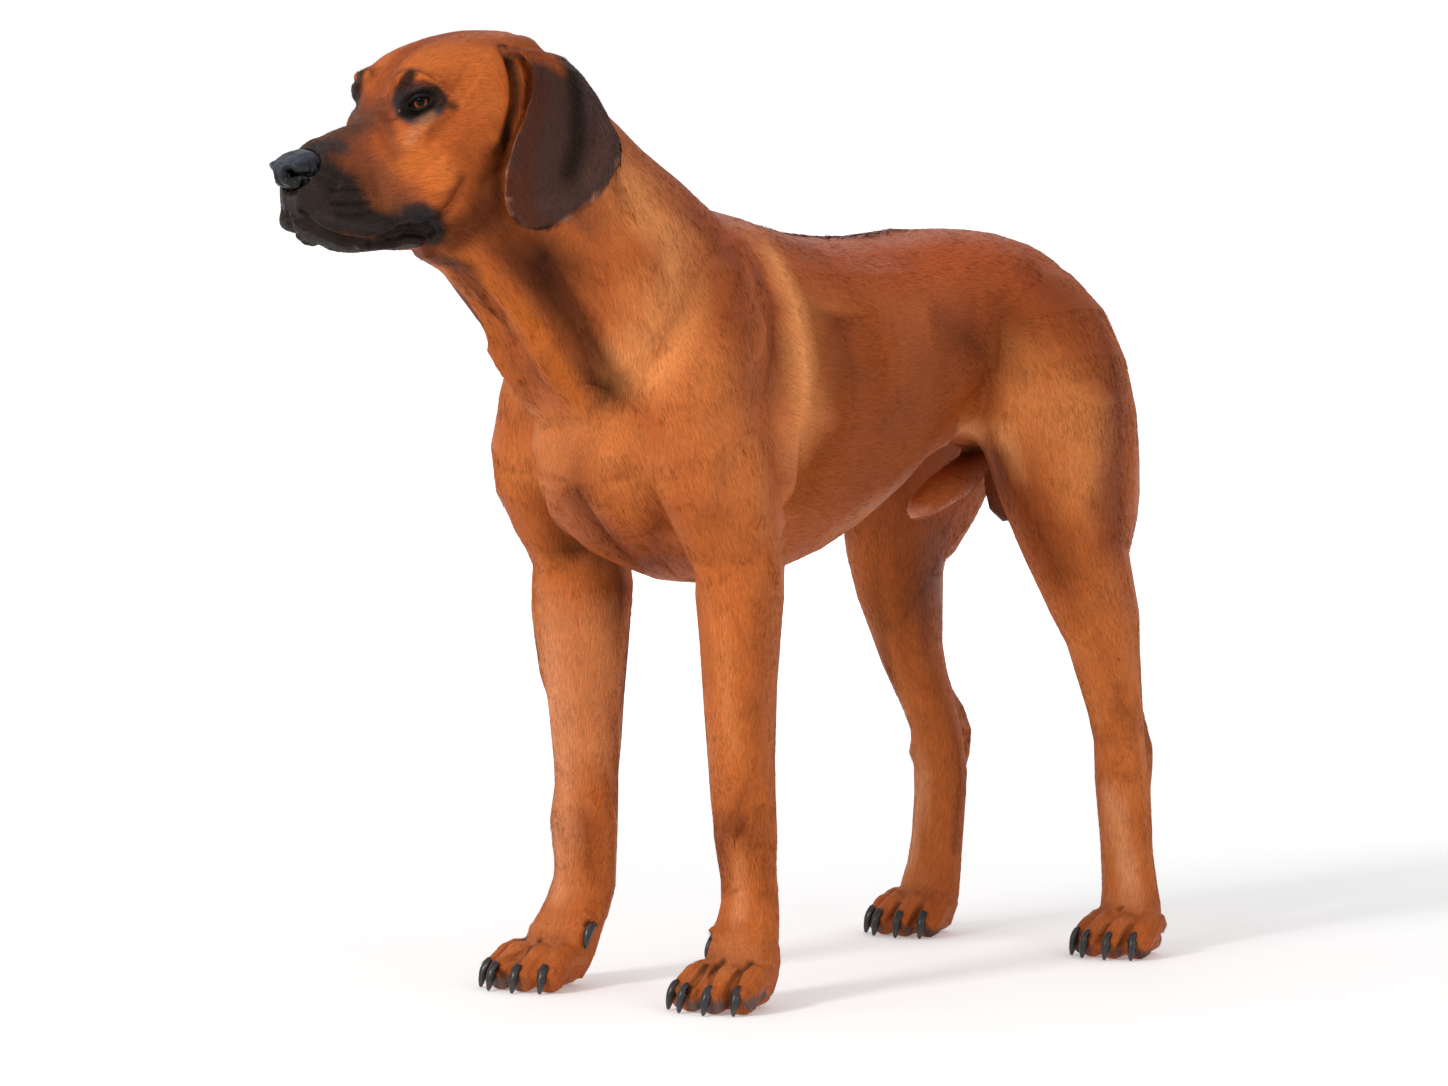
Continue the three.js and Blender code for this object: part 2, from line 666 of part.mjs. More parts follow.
function partOff(name, point, direction, half, depth) {
  const piece = rest.intersect(solidOf(beyond(point, direction, half, depth)));
  rest = rest.subtract(solidOf(beyond(point, direction, half, depth, cut)));
  add(name, piece, "coat");
}

// Cuts that part the left legs: [name, a point on the cut, the way to the piece, reach sideways, depth]
const down = [0, 0, -1];
const outAndDown = [0.88, 0, -0.474];
const legCuts = [
  ["forepaw", [...forePaw, 56], down, 90, 90],
  ["fore_pastern", [...foreLine, carpusHeight], down, 80, 90],
  ["forearm", [...foreLine, elbowHeight - 28], down, 90, 250],
  ["upper_arm", [56, -22, 392], outAndDown, 92, 200],
  ["hind_paw", [...hindPaw, 52], down, 90, 90],
  ["hind_pastern", [hock[0], hock[1] - 8, hock[2] - 18], [0, 0.2, -1], 80, 130],
  ["shank", [stifle[0], stifle[1] + 52, stifle[2] - 20], [0, 0.45, -0.89], 150, 260],
  ["thigh", [42, 475, 470], outAndDown, 125, 260],
];
partOff("head", [-26, -176, 716], [0, -0.77, 0.64], 200, 400);
for (const [side, sign] of Object.entries({ left: 1, right: -1 })) {
  for (const [name, [x, y, z], [dx, dy, dz], reach, depth] of legCuts) {
    partOff(`${name}_${side}`, [sign * x, y, z], [sign * dx, dy, dz], reach, depth);
  }
}
partOff("neck", [-4, -70, 620], [0, -0.6, 0.8], 220, 300);
add("torso", rest, "coat");

const rump = [torso(cut), ...hindLegParts(cut).flatMap(bothSides)];
const pastEarRoots = fuse([seated(skull(cut)), neck(cut)]);
add("lower_jaw", solidOf(seated(lowerJaw())), "mask");
const nosePad = solidOf(noseLeather()).subtract(fuse(bothSides(nostril())));
add("nose", solidOf(seated(geometryOf(nosePad))), "nose");
const foreLegs = fuse(foreLegParts(cut).flatMap(bothSides));
const paws = [
  ["fore", forePaw, 1],
  ["hind", hindPaw, hindSize],
];
const sides = { left: (geometry) => geometry, right: mirrored };
for (const [side, onSide] of Object.entries(sides)) {
  add(`eye_${side}`, solidOf(seated(onSide(eyeball(eyeRadius)))), "eye");
  add(`ear_${side}`, solidOf(seated(onSide(ear()))).subtract(pastEarRoots), "earCoat");
  for (const [paw, place, size] of paws) {
    toes.forEach((spot, n) => {
      const nail = solidOf(onSide(claw(place, spot, size)));
      const bed = solidOf(onSide(toe(place, spot, size, cut)));
      add(`${paw}_claw_${n + 1}_${side}`, nail.subtract(bed), "claw");
    });
  }
  add(`dewclaw_${side}`, solidOf(onSide(dewClaw())).subtract(foreLegs), "claw");
}
add("tail", solidOf(tail()).subtract(fuse(rump)), "coat");
add("sheath", solidOf(sheath()).subtract(fuse(rump)), "bareSkin");
add("scrotum", solidOf(scrotum()).subtract(fuse(rump)), "bareSkin");

// The group stands with the middle of its footprint at the origin.
const box = new THREE.Box3().setFromObject(dog);
dog.position.set(-(box.min.x + box.max.x) / 2, -(box.min.y + box.max.y) / 2, -box.min.z);
dog.updateMatrixWorld(true);

export default dog;
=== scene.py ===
import json
import math
import time
import bpy
import numpy as np
from mathutils import Matrix, Vector
from mathutils.bvhtree import BVHTree

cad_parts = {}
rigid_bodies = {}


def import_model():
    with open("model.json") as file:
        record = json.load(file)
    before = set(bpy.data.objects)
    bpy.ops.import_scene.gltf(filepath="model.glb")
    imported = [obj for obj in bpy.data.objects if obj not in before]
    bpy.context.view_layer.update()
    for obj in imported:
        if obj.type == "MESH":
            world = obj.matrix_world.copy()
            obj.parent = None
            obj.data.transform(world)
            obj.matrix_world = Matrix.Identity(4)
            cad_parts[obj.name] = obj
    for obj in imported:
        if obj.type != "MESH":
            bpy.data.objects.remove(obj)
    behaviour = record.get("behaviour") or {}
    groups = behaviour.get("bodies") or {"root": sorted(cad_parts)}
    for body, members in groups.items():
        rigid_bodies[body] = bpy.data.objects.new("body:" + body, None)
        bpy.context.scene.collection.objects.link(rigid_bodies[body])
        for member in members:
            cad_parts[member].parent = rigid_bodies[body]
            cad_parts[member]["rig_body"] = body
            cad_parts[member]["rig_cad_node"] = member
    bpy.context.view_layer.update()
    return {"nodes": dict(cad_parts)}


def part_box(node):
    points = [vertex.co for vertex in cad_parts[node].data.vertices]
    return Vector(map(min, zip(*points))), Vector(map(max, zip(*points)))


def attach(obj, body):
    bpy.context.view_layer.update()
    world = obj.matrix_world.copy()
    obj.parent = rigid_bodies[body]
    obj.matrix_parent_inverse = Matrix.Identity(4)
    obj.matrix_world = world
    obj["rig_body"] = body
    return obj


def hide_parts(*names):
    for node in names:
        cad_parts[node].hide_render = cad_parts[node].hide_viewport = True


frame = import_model()
started = time.time()

# Places on the dog are in millimetres from the floor under the withers: x to its left, -y the way it faces.
# Places on the head are in the head's own frame, which is turned and set on the neck.
dogShift = np.array([0.0, -113.386, 0.0])
headTurn = np.array(Matrix.Rotation(math.radians(-9), 3, "Z") @ Matrix.Rotation(math.radians(11), 3, "X"))
headSeat = np.array([-15.0, -138.0, 782.0])


def report(stage):
    print(f"{stage}: {time.time() - started:.1f} s")


def onDog(points):
    return (np.array(points, float).reshape(-1, 3) + dogShift) / 1000


def onHead(points):
    return (np.array(points, float).reshape(-1, 3) @ headTurn.T + headSeat + dogShift) / 1000


# Rows say where something lies: a path, how far it reaches to each side, and what it does there.
def track(*path, **values):
    return {"path": path, **values}


# lift raises the surface along the path, or presses it in where it is below 0
def stroke(name, reach, lift, *path, **values):
    return {"name": name, "reach": reach, "lift": lift, "path": path, **values}


# the colour is whole in the core and gone at the reach
def mark(name, colour, reach, core, strength, *path, **values):
    return {"name": name, "colour": colour, "reach": reach, "core": core, "strength": strength, "path": path,
            **values}


def onTheHead(*rows):
    return [{**row, "on": "head"} for row in rows]


def repeated(row, *paths):
    return [{**row, "path": path} for path in paths]


def shifted(path, x, z):
    return [(place[0] + x, place[1], place[2] + z) for place in path]


def bothSides(row):
    place = onHead if row.get("on") == "head" else onDog
    paths = [place(row["path"])]
    if row.get("sides", 2) == 2:
        paths.append(place(np.array(row["path"], float).reshape(-1, 3) * [-1, 1, 1]))
    return paths


def pick(*things):
    for thing in bpy.context.view_layer.objects:
        thing.select_set(thing in things)
    if things:
        bpy.context.view_layer.objects.active = things[-1]


def applyModifier(thing, kind, **values):
    pick(thing)
    modifier = thing.modifiers.new(kind.lower(), kind)
    for name, value in values.items():
        setattr(modifier, name, value)
    bpy.ops.object.modifier_apply(modifier=modifier.name)


def inEditMode(thing, operator, **values):
    pick(thing)
    bpy.ops.object.mode_set(mode="EDIT")
    bpy.ops.mesh.select_all(action="SELECT")
    operator(**values)
    bpy.ops.object.mode_set(mode="OBJECT")


def facesOutward(thing):
    inEditMode(thing, bpy.ops.mesh.normals_make_consistent, inside=False)
    bpy.ops.object.shade_smooth()


def voxelRemesh(thing, size):
    thing.data.remesh_voxel_size = size
    pick(thing)
    bpy.ops.object.voxel_remesh()


# a loose copy of a CAD node, closed up and ready to be worked on
def copyOfNode(node, name):
    part = frame["nodes"][node].copy()
    part.data = part.data.copy()
    part.parent = None
    part.name = part.data.name = name
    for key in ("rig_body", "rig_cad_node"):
        if key in part:
            del part[key]
    bpy.context.scene.collection.objects.link(part)
    part.data.materials.clear()
    inEditMode(part, bpy.ops.mesh.remove_doubles, threshold=0.00001)
    return part


def joined(parts, name):
    pick(*parts)
    bpy.ops.object.join()
    whole = bpy.context.view_layer.objects.active
    whole.name = whole.data.name = name
    return whole


def cornerValues(thing, kind):
    values = np.empty(len(thing.data.vertices) * 3, np.float32)
    thing.data.vertices.foreach_get(kind, values)
    return values.reshape(-1, 3).astype(float)


def cornersOf(thing):
    return cornerValues(thing, "co")


def normalsOf(thing):
    return cornerValues(thing, "normal")


def moveCorners(thing, places):
    thing.data.vertices.foreach_set("co", places.astype(np.float32).ravel())
    thing.data.update()


def setVectors(thing, name, vectors):
    layer = thing.data.attributes.new(name, "FLOAT_VECTOR", "POINT")
    layer.data.foreach_set("vector", vectors.astype(np.float32).ravel())


# the colours hold the coat's own markings together with painted shade and painted highlights
def setColours(mesh, colours):
    layer = mesh.color_attributes.new("markings_shade_and_highlights", "FLOAT_COLOR", "POINT")
    rgba = np.hstack([colours, np.ones((len(colours), 1))])
    layer.data.foreach_set("color", rgba.astype(np.float32).ravel())


def weightGroup(thing, name, weights, levels=20):
    group = thing.vertex_groups.new(name=name)
    steps = np.round(np.clip(weights, 0, 1) * levels).astype(int)
    for step in range(1, levels + 1):
        members = np.nonzero(steps == step)[0]
        if len(members):
            group.add(members.tolist(), step / levels, "REPLACE")


def unit(vectors):
    return vectors / np.maximum(np.linalg.norm(vectors, axis=-1, keepdims=True), 1e-9)


def smoothStep(t):
    return t * t * (3 - 2 * t)


# each place's distance from a path, and how far along the path it lies, from 0 to 1
def near(places, path):
    if len(path) == 1:
        return np.linalg.norm(places - path[0], axis=1), np.full(len(places), 0.5)
    best = np.full(len(places), 1e9)
    along = np.zeros(len(places))
    lengths = np.linalg.norm(np.diff(path, axis=0), axis=1)
    total, done = lengths.sum(), 0.0
    for start, end, length in zip(path[:-1], path[1:], lengths):
        if length < 1e-9:
            continue
        part = np.clip((places - start) @ (end - start) / length**2, 0, 1)
        distance = np.linalg.norm(places - start - part[:, None] * (end - start), axis=1)
        closer = distance < best
        best[closer] = distance[closer]
        along[closer] = (done + part[closer] * length) / total
        done += length
    return best, along


def smoothPath(path, step):
    if len(path) < 3:
        return path
    knots = np.concatenate([[2 * path[0] - path[1]], path, [2 * path[-1] - path[-2]]])
    out = []
    for a, b, c, d in zip(knots[:-3], knots[1:-2], knots[2:-1], knots[3:]):
        count = max(1, int(np.linalg.norm(c - b) / step))
        t = np.arange(count)[:, None] / count
        square, cube = 2 * a - 5 * b + 4 * c - d, 3 * (b - c) + d - a
        out.append(0.5 * (2 * b + (c - a) * t + square * t**2 + cube * t**3))
    return np.concatenate(out + [path[-1:]])


# each place's distance from a row's path as a share of the row's reach, for one side after the other
def sharesOfReach(places, row, step=None):
    for path in bothSides(row):
        path = smoothPath(path, step) if step else path
        yield near(places, path)[0] / (row["reach"] / 1000)


def closeTo(places, path, reach):
    return np.all((places > path.min(0) - reach) & (places < path.max(0) + reach), axis=1)


# skin: one body for all the flesh; sizes in metres
skinSetup = {
    "voxel": 0.0018,
    "seal": 0.0004,  # the nodes are swollen by this, so that they meet
    "coatDepth": 0.0010,  # room for the coat inside the size of the solids
    "triangles": 190000,
    "softRounds": 240,
    "softEdge": 1.3,  # how soon the softening is whole inside its reach, and how it falls off
    "softFall": 0.7,
    "plainRounds": 8,
    "headClear": 0.10,  # nearer to the head nothing is softened
    "headBlend": 0.05,
}
apart = ("eye_left", "eye_right", "nose")
fleshNodes = [n for n in frame["nodes"] if n not in apart and "claw" not in n]

# how strongly each part is smoothed
softening = [
    track((0, -60, 560), (0, 120, 560), (0, 300, 560), (0, 480, 560), reach=240, weight=1.0, sides=1),
    track((0, 40, 560), (0, -80, 680), reach=130, weight=1.0, sides=1),
    track((100, 430, 480), (104, 420, 400), (108, 500, 260), reach=110, weight=0.9),
    track((92, 0, 540), (90, 30, 400), reach=100, weight=0.9),
]


def makeSkin():
    copies = [copyOfNode(name, "flesh_" + name) for name in fleshNodes]
    for part in copies:
        moveCorners(part, cornersOf(part) + normalsOf(part) * skinSetup["seal"])
    skin = joined(copies, "skin")
    voxelRemesh(skin, skinSetup["voxel"])
    report(f"skin remeshed, {len(skin.data.polygons)} faces")
    return skin


def softenSkin(skin):
    places = cornersOf(skin)
    weights = np.zeros(len(places))
    for zone in softening:
        for share in sharesOfReach(places, zone):
            falloff = np.clip(skinSetup["softEdge"] - share * skinSetup["softEdge"], 0, 1)
            weights = np.maximum(weights, zone["weight"] * falloff ** skinSetup["softFall"])
    fromHead = near(places, onHead([(0, -40, 0), (0, -260, -20)]))[0]
    weights *= np.clip((fromHead - skinSetup["headClear"]) / skinSetup["headBlend"], 0, 1)
    weightGroup(skin, "soft", weights)
    applyModifier(skin, "SMOOTH", factor=0.5, iterations=skinSetup["softRounds"], vertex_group="soft")
    applyModifier(skin, "SMOOTH", factor=0.5, iterations=skinSetup["plainRounds"])
    report("skin softened")


# strokes are drawn in steps of this many metres, and leave alone what faces away from them
sculptSetup = {"step": 0.003, "facing": -0.2, "taper": 0.25}


def sculpt(thing, strokes):
    places, normals = cornersOf(thing), normalsOf(thing)
    tree = BVHTree.FromObject(thing, bpy.context.evaluated_depsgraph_get())
    moved = np.zeros_like(places)
    for row in strokes:
        for path in bothSides(row):
            reach = row["reach"] / 1000
            snapped = [tree.find_nearest(Vector(p)) for p in smoothPath(path, sculptSetup["step"])]
            path = np.array([s[0] for s in snapped])
            facing = unit(np.mean([s[1] for s in snapped], axis=0)[None])[0]
            towards = normals @ facing > sculptSetup["facing"]
            chosen = np.nonzero(closeTo(places, path, reach) & towards)[0]
            if not len(chosen):
                print(f"  {row['name']} touches nothing")
                continue
            distance, along = near(places[chosen], path)
            t = np.clip(distance / reach, 0, 1)
            shape = (1 - t) ** 2 * (1 + 0.6 * t) if row.get("sharp") else (1 - t * t) ** 2
            taper = row.get("taper", sculptSetup["taper"])
            ends = np.clip(np.minimum(along, 1 - along) / max(taper, 1e-6), 0, 1) if len(path) > 1 else 1.0
            amount = row["lift"] / 1000 * shape * (ends * (2 - ends) if taper else 1.0)
            moved[chosen] += amount[:, None] * normals[chosen]
    moveCorners(thing, places + moved)


# eyes: a seat for each ball, lids wrapped over it, and the slit between them; in millimetres
eyeSetup = {
    "place": (34.4, -131.8, 30.4),
    "gaze": (0.70, -0.71, 0.06),
    "ball": 12.2,
    "cornea": (7.6, 0.7),  # the clear cornea bulges a little in front of the iris: radius and height
    "lidThickness": 1.5,
    "lidOver": (0.9, 0.2),  # the upper and the lower lid stand out by this much more
    "lidFade": (1.95, 0.8),  # where the lids run out into the face, in widths of the slit, and how softly
    "halfWidth": 11.0,
    "above": 6.3,
    "below": 5.8,
    "lean": (0.18, -0.15),  # the upper lid is highest by the nose, the lower lid lowest by the cheek
    "tilt": 0.20,
    "iris": 6.6,
    "pupil": 3.1,
    "roundness": 0.62,  # of the slit's corners
    "seam": 0.5,
    "slitDepth": 2.5,  # the skin behind the slit lies this far inside the ball
    "seat": 34,  # nothing further from the ball's middle is moved
    "rimPoints": 72,
    "rimSides": 10,
    "rimOver": (1.2, 0.8),  # the rims' height over the ball and their thickness, above and below
    "rimRadius": (2.1, 1.6),
}


def eyeFrame(side):
    flip = np.array([side, 1, 1])
    gaze = unit((np.array(eyeSetup["gaze"]) * flip)[None])[0]
    outward = unit(np.cross([0, 0, 1], gaze)[None])[0] * side
    up = np.cross(gaze, outward) * side
    centre = onHead(np.array(eyeSetup["place"]) * flip)[0]
    return centre, headTurn @ outward, headTurn @ up, headTurn @ gaze


def slitEdge(across, upper):
    height = eyeSetup["above"] if upper else eyeSetup["below"]
    lean = eyeSetup["lean"][0 if upper else 1]
    t = np.clip(across / eyeSetup["halfWidth"], -1, 1)
    return height * np.clip(1 - t * t, 0, 1) ** eyeSetup["roundness"] * (1 - lean * t)


# the hole in the skin is a little wider than the slit, and the rims of the lids cover its edge
def wrapLids(skin):
    places = cornersOf(skin)
    half, seam = eyeSetup["halfWidth"], eyeSetup["seam"]
    for side in (1, -1):
        centre, outward, up, gaze = eyeFrame(side)
        local = (places - centre) * 1000
        close = np.nonzero(np.linalg.norm(local, axis=1) < eyeSetup["seat"])[0]
        local = local[close]
        a, b, d = local @ outward, local @ up, local @ gaze
        b = b - eyeSetup["tilt"] * a
        inner = a * half / (half + seam)
        edge = np.where(b > 0, slitEdge(inner, True), slitEdge(inner, False)) + seam
        radial = np.sqrt((a / half) ** 2 + (b / np.where(b > 0, eyeSetup["above"], eyeSetup["below"])) ** 2)
        distance = np.linalg.norm(local, axis=1)
        lid = eyeSetup["ball"] + eyeSetup["lidThickness"] + np.where(b > 0, *eyeSetup["lidOver"])
        fadeAt, fade = eyeSetup["lidFade"]
        hold = smoothStep(np.clip((fadeAt - radial) / fade, 0, 1) * (d > 0))
        target = distance + (lid - distance) * hold
        inSlit = (np.abs(b) < edge) & (np.abs(a) < half + seam) & (d > 0)
        target = np.where(inSlit, eyeSetup["ball"] - eyeSetup["slitDepth"], target)
        places[close] = centre + unit(local) * target[:, None] / 1000
    moveCorners(skin, places)


def makeEye(side, name):
    centre, outward, up, gaze = eyeFrame(side)
    pick()
    bpy.ops.mesh.primitive_uv_sphere_add(segments=64, ring_count=40, radius=eyeSetup["ball"] / 1000)
    eye = bpy.context.view_layer.objects.active
    eye.name = eye.data.name = name
    places = cornersOf(eye) * 1000
    radius, height = eyeSetup["cornea"]
    fromMiddle = np.linalg.norm(places[:, :2], axis=1)
    places[:, 2] += np.where(places[:, 2] > 0, np.clip(1 - (fromMiddle / radius) ** 2, 0, 1) * height, 0)
    moveCorners(eye, places @ np.stack([outward, up, gaze]) / 1000 + centre)
    setVectors(eye, "eyeAxes", places)
    facesOutward(eye)
    return eye


def makeLidRim(side, name):
    centre, outward, up, gaze = eyeFrame(side)
    count, around = eyeSetup["rimPoints"], eyeSetup["rimSides"]
    spots = []
    for k in range(count):
        angle = 2 * math.pi * k / count
        a = eyeSetup["halfWidth"] * math.cos(angle) * 1.01
        lid = 0 if math.sin(angle) >= 0 else 1  # upper, lower
        b = float(slitEdge(np.array(a), lid == 0)) * (1, -1)[lid] + eyeSetup["tilt"] * a
        ball = eyeSetup["ball"] + eyeSetup["rimOver"][lid]
        spot = np.array([a, b, math.sqrt(max(ball**2 - a * a - b * b, 9))])
        spots.append((spot, eyeSetup["rimRadius"][lid]))
    verts, faces = [], []
    for k, (spot, radius) in enumerate(spots):
        ahead = spots[(k + 1) % count][0] - spots[k - 1][0]
        ahead = ahead / np.linalg.norm(ahead)
        sideways = np.cross(ahead, spot / np.linalg.norm(spot))
        sideways /= np.linalg.norm(sideways)
        radial = np.cross(sideways, ahead)
        corner = min(1.0, 0.7 + abs(math.sin(2 * math.pi * k / count)) * 0.6)
        for j in range(around):
            turn = 2 * math.pi * j / around
            offset = radial * math.cos(turn) * radius + sideways * math.sin(turn) * radius * 1.15
            verts.append(spot + offset * corner)
            here, there, nextTo = k * around, (k + 1) % count * around, (j + 1) % around
            faces.append((here + j, here + nextTo, there + nextTo, there + j))
    mesh = bpy.data.meshes.new(name)
    mesh.from_pydata((np.array(verts) @ np.stack([outward, up, gaze]) / 1000 + centre).tolist(), [], faces)
    rim = bpy.data.objects.new(name, mesh)
    bpy.context.scene.collection.objects.link(rim)
    facesOutward(rim)
    return rim


# where the lips meet, from the nose to the corner of the mouth
lipLine = [
    (8, -258, -34), (20, -259, -46), (28, -253, -54), (38, -241, -65), (42, -226, -72), (45, -207, -76),
    (46, -191, -74), (46, -177, -70), (48, -153, -80),
]
# brows, lids, muzzle, lips and cheeks
headStrokes = onTheHead(
    stroke("furrow of the forehead", 9, -2.6, (0, -92, 71), (0, -120, 64), (0, -145, 50), (0, -168, 30),
        sides=1),
    stroke("brow", 9, 2.2, (17, -152, 44), (20, -143, 53), (36, -138, 57), (55, -132, 49)),
    stroke("far brow", 18, 2.6, (-34, -160, 36), (-42, -152, 40), (-49, -138, 42), sides=1),
    stroke("hollow above the inner corner", 8, -2.6, (35, -147, 48), (36, -144, 53)),
    stroke("wrinkle over the eye", 3.4, -1.5, (38, -147, 47), (44, -142, 48), (51, -137, 47),
        (56, -134, 43), (60, -129, 36), sharp=True),
    stroke("wrinkle over the brow", 3.6, -1.2, (17, -142, 54), (22, -138, 58), (35, -136, 58),
        (48, -133, 54), (58, -128, 48), (61, -123, 40), sharp=True),
    stroke("hollow in front of the eye", 11, -2.6, (21, -158, 33), (31, -164, 21)),
    stroke("cheekbone below the eye", 10, 2, (44, -158, 13), (55, -144, 15), (62, -128, 21)),
    stroke("fold from the corner of the eye", 8, -2, (63, -126, 20), (58, -140, 8), (56, -148, -8)),
    stroke("skin over the ear's root", 12, 3.5, (43, -46, 64), (37, -22, 61), (32, 0, 52)),
    stroke("side of the bridge", 12, -2, (11, -169, 27), (17, -195, 15), (18, -212, 10)),
    stroke("whisker pad", 26, 4, (33, -230, -18), (40, -217, -30), (44, -211, -43)),
    stroke("flew", 15, 2.6, (28, -250, -40), (39, -234, -52), (43, -207, -57), (42, -182, -58)),
    stroke("groove behind the whisker pad", 13, -2.6, (38, -185, -14), (42, -194, -29), (43, -191, -47)),
    stroke("cheek muscle", 30, 4.2, (59, -143, -17), (60, -136, -29), (57, -133, -47)),
    stroke("edge of the cheek", 8, -4.2, (62, -122, -36), (58, -126, -50), (53, -134, -61), (46, -143, -67),
        sharp=True),
    stroke("hollow under the cheek", 16, -2, (59, -118, -61), (62, -107, -51)),
    stroke("temple hollow", 30, -2, (58, -109, 47), (63, -99, 34)),
    stroke("hollow before the ear", 8, -3.5, (50, -50, 60), (57, -51, 46), (62, -52, 31), (66, -57, 17),
        (68, -66, 3), (68, -76, -11)),
    stroke("whisker row", 4, -2.2, (33, -240, -23), (38, -223, -26), (41, -209, -31), sharp=True),
    stroke("second whisker row", 4, -2.2, (35, -243, -34), (42, -226, -38), (44, -211, -40), sharp=True),
    stroke("third whisker row", 4, -1.8, (37, -241, -44), (42, -226, -48), (43, -210, -49), sharp=True),
    stroke("skin beside the nose", 13, 2, (0, -226, 16), (14, -226, 13), (24, -228, 6), (29, -231, -4),
        (28, -237, -14), taper=0.05),
    stroke("edge of the upper lip", 8, 4.2, *shifted(lipLine[1:], 0, 5), taper=0.08),
    stroke("line of the mouth", 5, -5.5, *shifted(lipLine, 0, -4), sharp=True, taper=0.05),
    stroke("recess under the lip", 8, -6, *shifted(lipLine[:-1], -3, -9), taper=0.1),
    stroke("lower lip", 8, 3.6, (20, -243, -78), (34, -226, -88), (42, -205, -92), (44, -186, -91),
        (43, -172, -89), taper=0.2),
    stroke("lower lip at the corner", 7, 5, (46, -180, -86), (49, -168, -86), (50, -156, -84),
        (50, -148, -79), taper=0.25),
    stroke("fold round the corner of the mouth", 6, -3.2, (53, -160, -76), (55, -147, -78), (52, -140, -84),
        sharp=True),
    stroke("fold under the nose", 4.5, -2.2, (-10, -258, -19), (2, -258, -22), (11, -257, -18), sharp=True),
    stroke("front of the flew", 10, 2.4, (-5, -258, -42), (-6, -253, -57)),
    stroke("far flew", 12, 3, (-20, -256, -60), (-28, -246, -72), (-32, -236, -78), sides=1),
)


# between the toes of one paw, from the top to the tips
toeGaps = [
    [(101, -68, 6), (104, -62, 18), (105, -51, 30), (103, -37, 39)],
    [(110, -53, 6), (125, -62, 24), (111, -36, 34), (109, -23, 42)],
    [(138, -49, 8), (140, -44, 24), (136, -28, 35), (134, -14, 41)],
]
hindToeGaps = [
    [(103, 471, 5), (103, 474, 13), (103, 482, 20), (104, 492, 29)],
    [(126, 464, 5), (126, 468, 13), (126, 475, 20), (126, 485, 29)],
    [(148, 471, 5), (148, 474, 13), (147, 482, 20), (147, 492, 29)],
]
